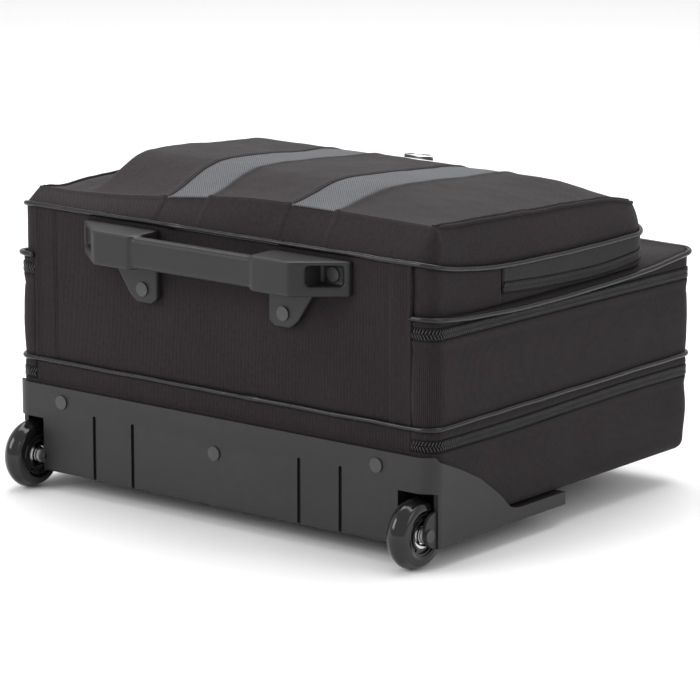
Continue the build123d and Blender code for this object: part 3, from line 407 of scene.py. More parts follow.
MOULDED = hard_material("moulded", (0.0055, 0.0047, 0.0050), (0.0185, 0.0165, 0.0172), 0.42, density=1500, depth=0.25,
                        rub=0.8)
INNER_PLASTIC = hard_material("inner_plastic", (0.012, 0.012, 0.012), (0.035, 0.035, 0.036), 0.5, depth=0.1)
RIVET_BLACK = hard_material("rivet_black", (0.020, 0.020, 0.020), (0.070, 0.068, 0.067), 0.38, density=2500,
                            metallic=0.5, rub=1.0)
TYRE_GLOSS = hard_material("tyre_gloss", (0.0020, 0.0020, 0.0022), (0.0060, 0.0060, 0.0064), 0.14, density=600,
                           coat=0.2)
HUB_GLOSS = hard_material("hub_gloss", (0.008, 0.008, 0.008), (0.024, 0.024, 0.025), 0.28, coat=0.3, rub=0.4)
STEEL = hard_material("steel", (0.42, 0.42, 0.43), (0.72, 0.72, 0.73), 0.28, density=2200, metallic=1.0)
BRIGHT_STEEL = hard_material("bright_steel", (0.62, 0.62, 0.63), (0.86, 0.86, 0.87), 0.12, density=900, metallic=1.0)
PIPING = hard_material("piping", (0.0030, 0.0028, 0.0030), (0.0090, 0.0085, 0.0090), 0.24, density=500, depth=0.05)
# The coil's dark colour is the black nylon. Its much lighter colour, spread in grain patches, is painted glint on the
# teeth.
COIL_WITH_PAINTED_GLINT = hard_material("coil", (0.0090, 0.0088, 0.0090), (0.0500, 0.0490, 0.0500), 0.20, density=900)
TUBE = hard_material("tube", (0.16, 0.16, 0.165), (0.30, 0.30, 0.31), 0.32, density=2600, metallic=1.0)
SLIDER = hard_material("slider", (0.020, 0.020, 0.021), (0.075, 0.075, 0.078), 0.30, metallic=0.8, rub=1.2)
BOARD = hard_material("board", (0.03, 0.03, 0.03), (0.06, 0.06, 0.06), 0.7, density=800, depth=0.2)
print("finishes:", len(bpy.data.materials))

# %% [markdown]
# ## Sewing round an outline
#
# Seen from above, nearly every strip of this case runs round the same rounded rectangle: walls, zips and piping.
# So the outline is walked once, and a strip is a closed section carried along a stretch of that walk. The section
# may change from stop to stop, which is how a seam sags or a wall bellies out. Walking the outline also gives each
# strip true lengths for its cloth coordinates, so weave and ribs keep their pitch round the corners.


# %% The walk
class Walk:
    """Distance, place and outward direction round a rounded rectangle, from the middle of its near side."""

    def __init__(self, half, near, far, near_radius, far_radius):
        turns = [(1, near_radius, -90), (1, far_radius, 0), (-1, far_radius, 90), (-1, near_radius, 180)]
        rows = [(0, near, 0, -1)]
        for side, radius, start in turns:
            x = side * (half - radius)
            y = near + radius if start in (-90, 180) else far - radius
            for angle in np.radians(np.linspace(start, start + 90, 31)):
                out = np.cos(angle), np.sin(angle)
                rows.append((x + radius * out[0], y + radius * out[1], *out))
        rows.append(rows[0])
        self.rows = np.array(rows)
        steps = np.linalg.norm(np.diff(self.rows[:, :2], axis=0), axis=1)
        self.walked = np.concatenate([[0], np.cumsum(steps)])
        self.length = self.walked[-1]

    def at(self, stops):
        """Places and outward directions at distances along the walk."""
        around = np.mod(stops, self.length)
        found = np.stack([np.interp(around, self.walked, column) for column in self.rows.T], axis=1)
        return found[:, :2], found[:, 2:]

    def to(self, y):
        """How far the walk has gone, up the right side, when it reaches y."""
        half_way = len(self.rows) // 2
        return float(np.interp(y, self.rows[:half_way, 1], self.walked[:half_way]))

    def stops(self, start, end, step):
        """Even stops between two distances."""
        return np.linspace(start, end, max(2, round((end - start) / step) + 1))


BODY = Walk(HALF, NEAR, FAR, CORNER, CORNER)
POCKET = Walk(POCKET_HALF, NEAR + 1 * MM, POCKET_FAR, CORNER, POCKET_CORNER)
print("round the body:", round(BODY.length, 3), "m")


# %% Meshes from plain arrays
def smooth(start, end, value):
    """0 before start, 1 after end, and an even curve between."""
    share = np.clip((value - start) / (end - start), 0, 1)
    return share * share * (3 - 2 * share)


def ripple(across, along, size, seed):
    """A soft unevenness between -1 and 1, of a few crossed waves."""
    total = 0
    for turn in range(5):
        angle = 1.7 * seed + 1.1 * turn
        wave = math.tau / size * (0.7 + 0.23 * turn)
        total = total + np.sin(wave * (across * math.cos(angle) + along * math.sin(angle)) + 2.3 * seed + 1.9 * turn)
    return total / 5


def make_piece(name, parts, materials):
    """One object from parts, each with its vertices, faces, cloth coordinates and the finish of each face."""
    vertices, faces, cloth, finish = [], [], [], []
    count = 0
    for part_vertices, part_faces, part_cloth, part_finish in parts:
        vertices.extend(np.asarray(part_vertices).tolist())
        faces.extend([[count + corner for corner in face] for face in part_faces])
        cloth.append(np.asarray(part_cloth).reshape(-1, 2))
        finish.extend(part_finish)
        count += len(part_vertices)
    mesh = bpy.data.meshes.new(name)
    mesh.from_pydata(vertices, [], faces)
    mesh.uv_layers.new(name="cloth").uv.foreach_set("vector", np.concatenate(cloth).astype(np.float32).ravel())
    mesh.polygons.foreach_set("material_index", np.array(finish, dtype=np.int32))
    mesh.polygons.foreach_set("use_smooth", np.ones(len(faces), dtype=bool))
    for material in materials:
        mesh.materials.append(material)
    piece = bpy.data.objects.new(name, mesh)
    bpy.context.collection.objects.link(piece)
    return piece


def settle(piece):
    """Make a piece's modifiers part of its mesh."""
    graph = bpy.context.evaluated_depsgraph_get()
    mesh = bpy.data.meshes.new_from_object(piece.evaluated_get(graph), preserve_all_data_layers=True,
                                           depsgraph=graph)
    piece.modifiers.clear()
    piece.data = mesh
    return piece


# %% A section carried along the walk
def swept(walk, stops, section, closed=False, finish=None):
    """A closed section of (out, height) points, the same or another at each stop."""
    points, normals = walk.at(stops)
    section = np.broadcast_to(section, (len(stops), *np.shape(section)[-2:]))
    flat = points[:, None] + normals[:, None] * section[..., :1]
    vertices = np.concatenate([flat, section[..., 1:]], axis=2).reshape(-1, 3)
    rings, sides = section.shape[:2]
    ring = np.arange(rings if closed else rings - 1)[:, None] + np.zeros((1, sides), int)
    side = np.zeros_like(ring) + np.arange(sides)
    ring_next = (ring + 1) % rings
    side_next = (side + 1) % sides
    corners = [(ring, side), (ring_next, side), (ring_next, side_next), (ring, side_next)]
    faces = np.stack([r * sides + s for r, s in corners], axis=2).reshape(-1, 4).tolist()
    middle = section[rings // 2]
    lengths = np.linalg.norm(np.roll(middle, -1, axis=0) - middle, axis=1)
    up = np.concatenate([[0], np.cumsum(lengths)])
    along = np.append(stops, stops[0] + walk.length) if closed else stops
    cloth_u = np.stack([along[ring], along[ring + 1], along[ring + 1], along[ring]], axis=2)
    cloth_v = np.stack([up[side], up[side], up[side + 1], up[side + 1]], axis=2)
    cloth = np.stack([cloth_u, cloth_v], axis=3).reshape(-1, 2)
    marks = [0] * len(faces) if finish is None else np.broadcast_to(finish, ring.shape).ravel().tolist()
    if not closed:
        last = (rings - 1) * sides
        faces += [list(range(sides)), list(range(last + sides - 1, last - 1, -1))]
        cloth = np.concatenate([cloth, section[0], section[-1][::-1]])
        marks += [0, 0]
    return vertices, faces, cloth, marks


def wall(walk, stops, low, high, thickness, belly=None, rows=12, closed=False):
    """A strip of cloth wall with rounded edges, whose inner face has the second finish."""
    share = np.linspace(0, 1, rows)
    low = np.broadcast_to(low, stops.shape)[:, None]
    high = np.broadcast_to(high, stops.shape)[:, None]
    heights = low + (high - low) * share
    out = np.zeros_like(heights) if belly is None else belly(stops[:, None] + 0 * heights, heights)
    edge = thickness / 4
    section = [np.stack([out, heights], axis=2),
               np.stack([out[:, -1:] - thickness / 2, high + edge], axis=2),
               np.stack([out[:, ::-1] - thickness, heights[:, ::-1]], axis=2),
               np.stack([out[:, :1] - thickness / 2, low - edge], axis=2)]
    finish = np.zeros(2 * rows + 2, int)
    finish[rows + 1:2 * rows] = 1
    return swept(walk, stops, np.concatenate(section, axis=1), closed, finish)


def ring_section(radius, out, heights, sides=12):
    """A round section at each stop. radius, out and heights may change from stop to stop."""
    angle = np.linspace(0, math.tau, sides, endpoint=False)
    radius = np.broadcast_to(radius, heights.shape)[:, None]
    out = np.broadcast_to(out, heights.shape)[:, None]
    return np.stack([out + radius * np.cos(angle), heights[:, None] + radius * np.sin(angle)], axis=2)


# %% Placing a piece
def place(piece, body, slot, *nodes):
    """Attach a piece to the body that it rides on and hide the solids that it stands for. slot, its finish's name in
    the record, is not used.
    """
    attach(piece, body)
    if nodes:
        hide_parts(*nodes)
    print(piece.name, "on", body, "-", len(piece.data.polygons), "faces")
    return piece


# %% [markdown]
# ## How the seams run
#
# On a worn case no seam is dead level: the lid's piping sags in the middle of the side, the zips follow it, and
# the pocket's piping drops from the wheel end and then runs low. These few curves give each line's height from how
# far along the side it is, and every strip that meets at a seam uses the same curve, so nothing gapes.


# %% Heights of the seams along the sides
LID_SAG = 4.8 * MM
LID_LIFT = 9 * MM
POCKET_PIPING_LOW = 18 * MM
POCKET_PIPING_DROP = 18.5 * MM
POCKET_PIPING_DROP_LENGTH = 62 * MM
POCKET_PIPING_LIFT = 3 * MM
ZIP_TURN = 0.63


def share_along(y):
    """0 at the wheel end and 1 at the top end."""
    return np.clip((y - NEAR) / (FAR - NEAR), 0, 1)


def lid_line(y):
    """Piping of the lid: high at both ends of the side."""
    return LID_LINE - LID_SAG + LID_LIFT * np.abs(2 * share_along(y) - 1) ** 2.6


def main_zip_line(y):
    """Middle of the main zip, which falls slowly towards the top end."""
    return MAIN_ZIP_LINE + (4.0 - 6.5 * share_along(y)) * MM


def rear_zip_line(y):
    """Middle of the laptop compartment's zip."""
    return REAR_ZIP_LINE + 0.8 * MM * np.sin(19 * y)


def pocket_line(y):
    """Piping of the pocket: drops from the wheel end, then runs low and lifts at its far corners."""
    drop = POCKET_PIPING_DROP * np.exp(-(y - NEAR) / POCKET_PIPING_DROP_LENGTH)
    lift = POCKET_PIPING_LIFT * smooth(POCKET_FAR - 25 * MM, POCKET_FAR, y)
    return PANEL_LINE - POCKET_PIPING_LOW + drop + lift


def pocket_zip_line(y):
    """Middle of the pocket's zip."""
    share = np.clip((y - CREST) / (POCKET_FAR - CREST), 0, 1)
    fall = 7.0 * MM * np.sin(math.pi / 2 * np.clip(share / ZIP_TURN, 0, 1))
    return POCKET_ZIP_LINE + 3.0 * MM - fall + 4.0 * MM * smooth(ZIP_TURN, 1, share)


def along_walk(walk, stops, line):
    """A seam's heights at stops along the walk."""
    return line(walk.at(stops)[0][:, 1])


# %% [markdown]
# ## Rear section: the laptop compartment
#
# Its wall is one strip sewn to a back panel, with a rounded lower edge where the cloth turns under. Above, the
# wall ends in a rolled hem beside the zip. The wheel wells take two bites out of the wheel end, cut here by a
# boolean with plain cylinders, because the moulded wells of the kick plate fill exactly that space.


# %% Rear walls and back panel
ZIP_HALF = 6 * MM
WALL_THICKNESS = 3.5 * MM
TURN_UNDER = 10 * MM
TURN_DEPTH = 18 * MM
ROLL_HEIGHT = 1.5 * MM
ROLL_REACH = 4.5 * MM
STITCH_DEPTH = 0.5 * MM
STITCH_DISTANCE = 9 * MM
STITCH_WIDTH = 1.3 * MM
REAR_DENTS = 0.5 * MM
REAR_FULLNESS = 1.5 * MM


def rolled(height, seam):
    """How far a rolled hem stands out near a seam, with a shallow groove of stitching below it."""
    distance = np.abs(height - seam)
    groove = STITCH_DEPTH * np.exp(-((distance - STITCH_DISTANCE) / STITCH_WIDTH) ** 2)
    return ROLL_HEIGHT * np.exp(-(distance / ROLL_REACH) ** 2) - groove


def rear_wall_part():
    """The wall with its lower edge turned under, as one closed section."""
    stops = BODY.stops(0, BODY.length, 4 * MM)[:-1]
    high = along_walk(BODY, stops, rear_zip_line) - ZIP_HALF
    share = np.linspace(0, 1, 16)
    heights = BACK + TURN_UNDER + (high[:, None] - BACK - TURN_UNDER) * share
    belly = REAR_DENTS * ripple(stops[:, None], heights, 90 * MM, 3) + REAR_FULLNESS * np.sin(math.pi * share) ** 2
    out = belly + rolled(heights, high[:, None])
    turn = np.radians(np.linspace(-90, 0, 7)[:-1])
    under = np.stack([TURN_UNDER * (np.cos(turn) - 1), TURN_UNDER * (1 + np.sin(turn))], axis=1) + (0, BACK)
    under = np.concatenate([[(-TURN_DEPTH, BACK)], under])
    under = np.broadcast_to(under, (len(stops), *under.shape))
    inner_under = under[:, ::-1] + (-WALL_THICKNESS * 0.2, WALL_THICKNESS)
    inner_under = np.minimum(inner_under, (-WALL_THICKNESS, 1))
    section = [under, np.stack([out, heights], axis=2),
               np.stack([out[:, -1:] - WALL_THICKNESS / 2, high[:, None] + 1 * MM], axis=2),
               np.stack([out[:, ::-1] - WALL_THICKNESS, heights[:, ::-1]], axis=2), inner_under]
    section = np.concatenate(section, axis=1)
    finish = np.zeros(section.shape[1], int)
    finish[len(under[0]) + len(share) + 1:-1] = 1
    return swept(BODY, stops, section, True, finish)


def well_cutter():
    """Two cylinders as large as the wheel wells and their moulded walls."""
    parts = []
    plate_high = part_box("kick_plate")[1]
    tyre_low, tyre_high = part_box("right_tyre")
    middle_y = (tyre_low.y + tyre_high.y) / 2
    middle_z = (tyre_low.z + tyre_high.z) / 2
    radius = (tyre_high.z - tyre_low.z) / 2 + 9.5 * MM
    turn = np.linspace(0, math.tau, 48, endpoint=False)
    for side in (-1, 1):
        inner = side * (tyre_low.x - 7 * MM)
        outer = side * (plate_high.x + 20 * MM)
        ring = np.stack([0 * turn, middle_y + radius * np.cos(turn), middle_z + radius * np.sin(turn)], axis=1)
        ends = sorted((inner, outer))
        vertices = np.concatenate([ring + (ends[0], 0, 0), ring + (ends[1], 0, 0)])
        count = len(turn)
        faces = [[i, (i + 1) % count, count + (i + 1) % count, count + i] for i in range(count)]
        faces = [face[::-1] for face in faces] + [list(range(count)), list(range(2 * count - 1, count - 1, -1))]
        corners = sum(len(face) for face in faces)
        parts.append((vertices, [face[::-1] for face in faces], np.zeros((corners, 2)), [0] * len(faces)))
    return make_piece("well_cutter", parts, [LINING])


def cut(piece, cutter):
    """Take the cutter's shape out of a piece."""
    tool = piece.modifiers.new("cut", "BOOLEAN")
    tool.operation = "DIFFERENCE"
    tool.solver = "EXACT"
    tool.object = cutter
    return settle(piece)


rear_walls = make_piece("rear_walls", [rear_wall_part()], [SIDE_CLOTH, LINING])
cutter = well_cutter()
cut(rear_walls, cutter)
place(rear_walls, "rear_section", "ballistic_fabric", "rear_shell")

# %% [markdown]
# ## Flat and padded panels
#
# A panel is a grid over the inside of a rounded rectangle. Its columns stay straight except near the sides, where
# they lean to follow the rounded corners, so ribs and stripes run true. A function gives its height at each point,
# and a skirt may hang from its rim. Solidify then gives the cloth a thickness, with the lining on the inside.


# %% A panel over a rounded rectangle
def panel(name, walk_sizes, height, materials, thickness, skirt=None, flare=0.0, step=4 * MM, columns=(),
          front_rows=None, rows_at=()):
    """walk_sizes are half width, near, far and the two corner radii, as a Walk takes them."""
    half, near, far, near_radius, far_radius = walk_sizes
    quarter = np.radians(np.linspace(0, 90, 9))
    near_rows = near + near_radius * (1 - np.cos(quarter))
    far_rows = far - far_radius * (1 - np.cos(quarter))
    between = np.linspace(near_rows[-1], far_rows[-1], max(3, round((far_rows[-1] - near_rows[-1]) / step)))
    y = np.unique(np.round(np.concatenate([near_rows, between, far_rows, rows_at]), 6))
    near_depth = np.clip(near + near_radius - y, 0, near_radius)
    far_depth = np.clip(y - far + far_radius, 0, far_radius)
    width = half - (near_radius - np.sqrt(near_radius ** 2 - near_depth ** 2))
    width = width - (far_radius - np.sqrt(far_radius ** 2 - far_depth ** 2))
    straight = half - max(near_radius, far_radius) - 10 * MM
    target_x = np.unique(np.round(np.concatenate([np.linspace(-half, half, round(2 * half / step)), columns]), 6))
    beyond = np.clip(np.abs(target_x) - straight, 0, None) / (half - straight)
    x = np.sign(target_x) * (np.minimum(np.abs(target_x), straight) + beyond * (width[:, None] - straight))
    y = np.broadcast_to(y[:, None], x.shape)
    z = height(x, y)
    rows, count = x.shape
    index = np.arange(rows * count).reshape(rows, count)
    steps = np.sqrt(np.diff(y, axis=0) ** 2 + np.diff(z, axis=0) ** 2)
    along = np.concatenate([np.zeros((1, count)), np.cumsum(steps, axis=0)])
    quads = np.stack([index[:-1, :-1], index[:-1, 1:], index[1:, 1:], index[1:, :-1]], axis=2).reshape(-1, 4)
    vertices = np.stack([x, y, z], axis=2).reshape(-1, 3)
    cloth = np.stack([x, along], axis=2).reshape(-1, 2)[quads.ravel()]
    finish = np.zeros((rows - 1, count - 1), int)
    if front_rows is not None:
        finish[y[:-1, :-1] < front_rows] = 2
    parts = [(vertices, quads.tolist(), cloth, finish.ravel().tolist())]
    if skirt is not None:
        parts.append(skirt_part(vertices, index, skirt, flare))
    piece = make_piece(name, parts, materials)
    weld = piece.modifiers.new("weld", "WELD")
    weld.merge_threshold = 0.05 * MM
    solid = piece.modifiers.new("thickness", "SOLIDIFY")
    solid.thickness = thickness
    solid.offset = -1
    solid.material_offset = 1
    return settle(piece)


def skirt_part(vertices, index, skirt, flare, rows=7):
    """A wall that hangs from a panel's rim to the height that skirt gives at each point, and flares to the sides."""
    rim = np.concatenate([index[0, :-1], index[:-1, -1], index[-1, :0:-1], index[:0:-1, 0]])
    top = vertices[rim]
    ahead = np.roll(top, -1, axis=0) - np.roll(top, 1, axis=0)
    out = np.stack([ahead[:, 1], -ahead[:, 0]], axis=1)
    out /= np.linalg.norm(out, axis=1)[:, None]
    low = skirt(top[:, 0], top[:, 1])
    share = np.linspace(0, 1, rows)[:, None]
    drop = np.maximum(top[:, 2] - low, 0.2 * MM)
    z = top[:, 2] - share * drop
    belly = np.sin(math.pi * share) * np.minimum(drop * 0.06, 1.6 * MM)
    flat = top[None, :, :2] + out * belly[..., None]
    flat[..., 0] *= 1 + share * flare / top[:, 0].max()
    ring = np.concatenate([flat, z[..., None]], axis=2).reshape(-1, 3)
    count = len(rim)
    walked = np.concatenate([[0], np.cumsum(np.linalg.norm(np.roll(top, -1, axis=0) - top, axis=1))])
    faces, cloth = [], []
    for row in range(rows - 1):
        for i in range(count):
            after = (i + 1) % count
            faces.append([(row + 1) * count + i, (row + 1) * count + after, row * count + after, row * count + i])
            corner_z = [ring[corner][2] for corner in faces[-1]]
            cloth += [(walked[i], corner_z[0]), (walked[i + 1], corner_z[1]), (walked[i + 1], corner_z[2]),
                      (walked[i], corner_z[3])]
    return ring, faces, cloth, [3] * len(faces)


# %% Back panel under the laptop compartment
back_sizes = (HALF - TURN_DEPTH + 2 * MM, NEAR + TURN_DEPTH - 2 * MM, FAR - TURN_DEPTH + 2 * MM, 8 * MM, 8 * MM)


def back_height(x, y):
    """Top face of the back panel."""
    return BACK + 4 * MM + 0 * x


back_panel = panel("back_panel", back_sizes, back_height, [LINING, SIDE_CLOTH], 3.6 * MM, step=8 * MM)
cut(back_panel, cutter)
place(back_panel, "rear_section", "ballistic_fabric")
bpy.data.objects.remove(cutter)


# %% Quilted pad that the laptop lies on
pad_low, pad_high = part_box("laptop_pad")
PAD_CHANNEL = 62 * MM


def pad_height(x, y):
    """A quilted top: channels sewn along the case, and a rim that rounds down."""
    rim = np.minimum.reduce([x - pad_low.x, pad_high.x - x, y - pad_low.y, pad_high.y - y])
    crown = 1 - np.clip(1 - rim / (9 * MM), 0, 1) ** 2
    channel = np.abs(np.sin(math.pi * (x - pad_low.x) / PAD_CHANNEL)) ** 0.5
    puff = 0.4 * MM * ripple(x, y, 40 * MM, 5)
    return pad_low.z + 2 * MM + (pad_high.z - pad_low.z - 2 * MM) * crown * (0.62 + 0.38 * channel) + puff


pad_sizes = (pad_high.x, pad_low.y, pad_high.y, 17 * MM, 17 * MM)
laptop_pad = panel("quilted_laptop_pad", pad_sizes, pad_height, [LINING, LINING, LINING, LINING], 1.5 * MM,
                   skirt=lambda x, y: pad_low.z + 0 * x, step=5 * MM)
place(laptop_pad, "rear_section", "lining_foam", "laptop_pad")

# %% [markdown]
# ## Coil zips
#
# A coil zip is two woven tapes, each with a nylon spiral sewn along its edge. The turns of the two spirals mesh,
# so the closed zip looks like a chain of small leaning strokes. Each row here is its own piece on its own section
# of the case, a tape with one stroke for each turn, and the two rows are half a turn apart so that they mesh.

# %% A zip row
TOOTH_PITCH = 2.6 * MM
TOOTH_REACH = 4.4 * MM
TOOTH_OVERLAP = 0.3 * MM
TOOTH_LEAN = 0.45
TAPE_HALF = 6.6 * MM
TAPE_THICKNESS = 0.7 * MM
TAPE_PROFILE_HEIGHTS = np.array([0.3 * MM, 2.5 * MM, 4.5 * MM, TAPE_HALF])
TAPE_PROFILE_OUT = np.array([0.7, 0.4, 0.0, -0.3]) * MM
TOOTH_HEIGHTS = np.array([-TOOTH_OVERLAP, TOOTH_REACH * 0.45, TOOTH_REACH])
TOOTH_HALF_WIDTHS = np.array([0.50, 0.60, 0.45]) * MM
TOOTH_HALF_DEPTHS = np.array([0.75, 1.05, 0.70]) * MM


def tape_part(walk, stops, line, side):
    """The woven tape, thin and slightly dished, from beside the teeth to under the wall's hem."""
    heights = line[:, None] + side * TAPE_PROFILE_HEIGHTS
    out = TAPE_PROFILE_OUT + 0 * heights
    front = np.stack([out, heights], axis=2)
    back = np.stack([out - TAPE_THICKNESS, heights], axis=2)[:, ::-1]
    section = np.concatenate([front, back], axis=1)
    return swept(walk, stops, section if side > 0 else section[:, ::-1])


def teeth_part(walk, start, end, line_at, side):
    """One leaning stroke for each turn of the spiral, each of three small rings."""
    count = int((end - start) / TOOTH_PITCH)
    stops = start + TOOTH_PITCH * (np.arange(count) + (0.6 if side > 0 else 0.1))
    points, normals = walk.at(stops)
    line = line_at(points[:, 1])
    tangents = np.stack([-normals[:, 1], normals[:, 0]], axis=1)
    angle = np.linspace(0, math.tau, 6, endpoint=False)
    across = TOOTH_HALF_WIDTHS[:, None] * np.cos(angle) + TOOTH_LEAN * TOOTH_HEIGHTS[:, None]
    out = 1.0 * MM + TOOTH_HALF_DEPTHS[:, None] * np.sin(angle)
    flat = points[:, None, None] + tangents[:, None, None] * across[..., None]
    flat = flat + normals[:, None, None] * out[..., None]
    height = line[:, None, None] + side * TOOTH_HEIGHTS[:, None] + 0 * across
    vertices = np.concatenate([flat, height[..., None]], axis=3).reshape(-1, 3)
    bead = []
    for ring in range(2):
        for i in range(6):
            j = (i + 1) % 6
            bead.append([ring * 6 + i, ring * 6 + j, ring * 6 + 6 + j, ring * 6 + 6 + i])
    bead += [[5, 4, 3, 2, 1, 0], [12, 13, 14, 15, 16, 17]]
    if side > 0:
        bead = [face[::-1] for face in bead]
    faces = [[18 * tooth + corner for corner in face] for tooth in range(count) for face in bead]
    corners = sum(len(face) for face in faces)
    return vertices, faces, np.zeros((corners, 2)), [1] * len(faces)


def zip_row(name, walk, start, line_at, side, body, node):
    """One row, from start up one side of the case to the same place on the other."""
    stops = walk.stops(start, walk.length - start, 3.5 * MM)
    line = along_walk(walk, stops, line_at)
    parts = [tape_part(walk, stops, line, side), teeth_part(walk, stops[0], stops[-1], line_at, side)]
    return place(make_piece(name, parts, [ZIP_TAPE, COIL_WITH_PAINTED_GLINT]), body, "zip_coil", node)


HEM_START = HEM + 0.5 * MM
POCKET_ZIP_START = POCKET.to(CREST + 3 * MM)
zip_row("rear_zip_lower_coil", BODY, HEM_START, rear_zip_line, -1, "rear_section", "rear_zip_lower_row")
zip_row("rear_zip_upper_coil", BODY, HEM_START, rear_zip_line, 1, "mid_section", "rear_zip_upper_row")
zip_row("main_zip_lower_coil", BODY, HEM_START, main_zip_line, -1, "mid_section", "main_zip_lower_row")
zip_row("main_zip_upper_coil", BODY, HEM_START, main_zip_line, 1, "front_section", "main_zip_upper_row")
zip_row("pocket_zip_lower_coil", POCKET, POCKET_ZIP_START, pocket_zip_line, -1, "front_section",
        "pocket_zip_lower_row")
zip_row("pocket_zip_upper_coil", POCKET, POCKET_ZIP_START, pocket_zip_line, 1, "pocket_flap_body",
        "pocket_zip_upper_row")

# %% [markdown]
# ## Mid section: the main compartment's walls, the wheel-end panel and the divider
#
# The side wall runs from hem to hem round the top end. The wheel-end panel is a separate piece of cloth that ends,
# just short of both corners, in a doubled, gathered hem, which stands a little proud of the wall that it overlaps.
# The gathers are fine upright ripples, strongest near the hem's edge.


# %% Walls between the two zips
MID_FULLNESS = 2.0 * MM
MID_DENTS = 0.6 * MM
MID_SMALL_DENTS = 0.2 * MM


def mid_belly(stops, heights):
    """Slack of the wall: soft dents, rolled hems beside both zips, and a little fullness in the middle."""
    y = BODY.at(stops.ravel())[0][:, 1].reshape(stops.shape)
    top = main_zip_line(y) - ZIP_HALF
    bottom = REAR_ZIP_LINE + ZIP_HALF
    share = (heights - bottom) / (top - bottom)
    inside = np.sin(math.pi * np.clip(share, 0, 1))
    dents = MID_DENTS * ripple(stops, heights, 85 * MM, 1) + MID_SMALL_DENTS * ripple(stops, heights, 31 * MM, 2)
    return (MID_FULLNESS + dents) * inside + rolled(heights, top) + rolled(heights, bottom)


stops = BODY.stops(HEM_START, BODY.length - HEM_START, 4 * MM)
mid_high = along_walk(BODY, stops, main_zip_line) - ZIP_HALF
mid_low = along_walk(BODY, stops, rear_zip_line) + ZIP_HALF
mid_walls = make_piece("mid_walls", [wall(BODY, stops, mid_low, mid_high, WALL_THICKNESS, mid_belly, rows=30)],
                       [SIDE_CLOTH, LINING])
place(mid_walls, "mid_section", "ballistic_fabric", "mid_shell")

# %% Wheel-end panel, from hem to hem
HEM_BAND = 24 * MM
HEM_PROUD = 0.9 * MM
HEM_EDGE_PROUD = 1.2 * MM
HEM_EDGE_WIDTH = 3 * MM
HEM_GROOVE_DEPTH = 0.5 * MM
HEM_GROOVE_WIDTH = 1.2 * MM
GATHER_DEPTH = 0.4 * MM
GATHER_SPACING = 0.75 * MM
PANEL_SLACK = 0.9 * MM
PANEL_SMALL_SLACK = 0.3 * MM


def end_panel_belly(stops, heights):
    """Flat in the middle, gathered near the hems, whose doubled edge stands proud."""
    to_hem = HEM_START - np.abs(stops)
    band = 1 - smooth(HEM_BAND - 3 * MM, HEM_BAND, to_hem)
    gathers = GATHER_DEPTH * np.sin(stops / GATHER_SPACING) * band * (0.5 + 0.5 * ripple(stops, heights, 50 * MM, 8))
    edge = HEM_EDGE_PROUD * np.exp(-(to_hem / HEM_EDGE_WIDTH) ** 2)
    share = (heights - FOLD_LINE) / (PANEL_LINE - FOLD_LINE)
    slack = PANEL_SLACK * ripple(stops, heights, 110 * MM, 4) + PANEL_SMALL_SLACK * ripple(stops, heights, 37 * MM, 6)
    groove = HEM_GROOVE_DEPTH * np.exp(-((to_hem - HEM_BAND) / HEM_GROOVE_WIDTH) ** 2)
    return slack * np.sin(math.pi * np.clip(share, 0, 1)) + HEM_PROUD * band + gathers + edge - groove


stops = BODY.stops(-HEM_START, HEM_START, 2.4 * MM)
end_panel = make_piece("wheel_end_cloth", [wall(BODY, stops, FOLD_LINE + 1.2 * MM, PANEL_LINE - 1.2 * MM, 3.5 * MM,
                                                end_panel_belly, rows=36)], [SIDE_CLOTH, LINING])
place(end_panel, "mid_section", "ballistic_fabric", "wheel_end_panel")

# %% Fold strip between the kick plate and the piping
stops = BODY.stops(-HEM_START, HEM_START, 3 * MM)


def fold_belly(stops, heights):
    """Fine upright gathers that fade towards the middle of the wheel end."""
    return 0.5 * MM + 0.3 * MM * ripple(stops, heights, 26 * MM, 9)


fold_high = FOLD_LINE - 1.2 * MM + 0 * stops
fold_strip = make_piece("fold_strip", [wall(BODY, stops, REAR_ZIP_LINE - ZIP_HALF - 12 * MM, fold_high, 3 * MM,
                                            fold_belly, rows=10)], [SIDE_CLOTH, LINING])
place(fold_strip, "rear_section", "ballistic_fabric")

# %% Divider between the two compartments
divider_sizes = (HALF - 4.5 * MM, NEAR + 6 * MM, FAR - 4.5 * MM, 10 * MM, 10 * MM)
DIVIDER_HALF_THICKNESS = 3.5 * MM


def divider_height(x, y):
    """A lined board with a slightly padded face."""
    rim = np.minimum(divider_sizes[0] - np.abs(x), np.minimum(y - divider_sizes[1], divider_sizes[2] - y))
    crown = 1 - np.clip(1 - rim / (14 * MM), 0, 1) ** 2
    return DIVIDER_LINE - 1.5 * MM + 3.0 * MM * crown + 0.5 * MM * ripple(x, y, 70 * MM, 7)


divider = panel("lined_divider", divider_sizes, divider_height, [LINING, LINING], 2 * DIVIDER_HALF_THICKNESS,
                step=7 * MM)
place(divider, "mid_section", "lining_foam", "divider_board")

# %% [markdown]
# ## Piping
#
# Piping is a cord wrapped in glossy film and caught in the seam. Its shine gives the case its bright outlines, so
# its small faults matter: it wavers, swells slightly between stitches, and has a sleeve where its ends meet.

# %% Piping pieces
PIPING_RADIUS = 2.2 * MM
SLEEVE_HALF = 8 * MM


def piping_part(walk, stops, heights, seed, out=1.4 * MM, sleeves=(), closed=False):
    """A wavering round cord, with a sleeve at each of the given distances."""
    radius = PIPING_RADIUS + 0.10 * MM * ripple(stops, 0, 17 * MM, seed)
    for sleeve in sleeves:
        away = np.abs(stops - sleeve)
        radius = radius + 0.45 * MM * (1 - smooth(SLEEVE_HALF - 1.2 * MM, SLEEVE_HALF, away))
    height = heights + 0.45 * MM * ripple(stops, 0, 75 * MM, seed + 1)
    reach = out + 0.25 * MM * ripple(stops, 0, 48 * MM, seed + 2)
    return swept(walk, stops, ring_section(radius, reach, height), closed)


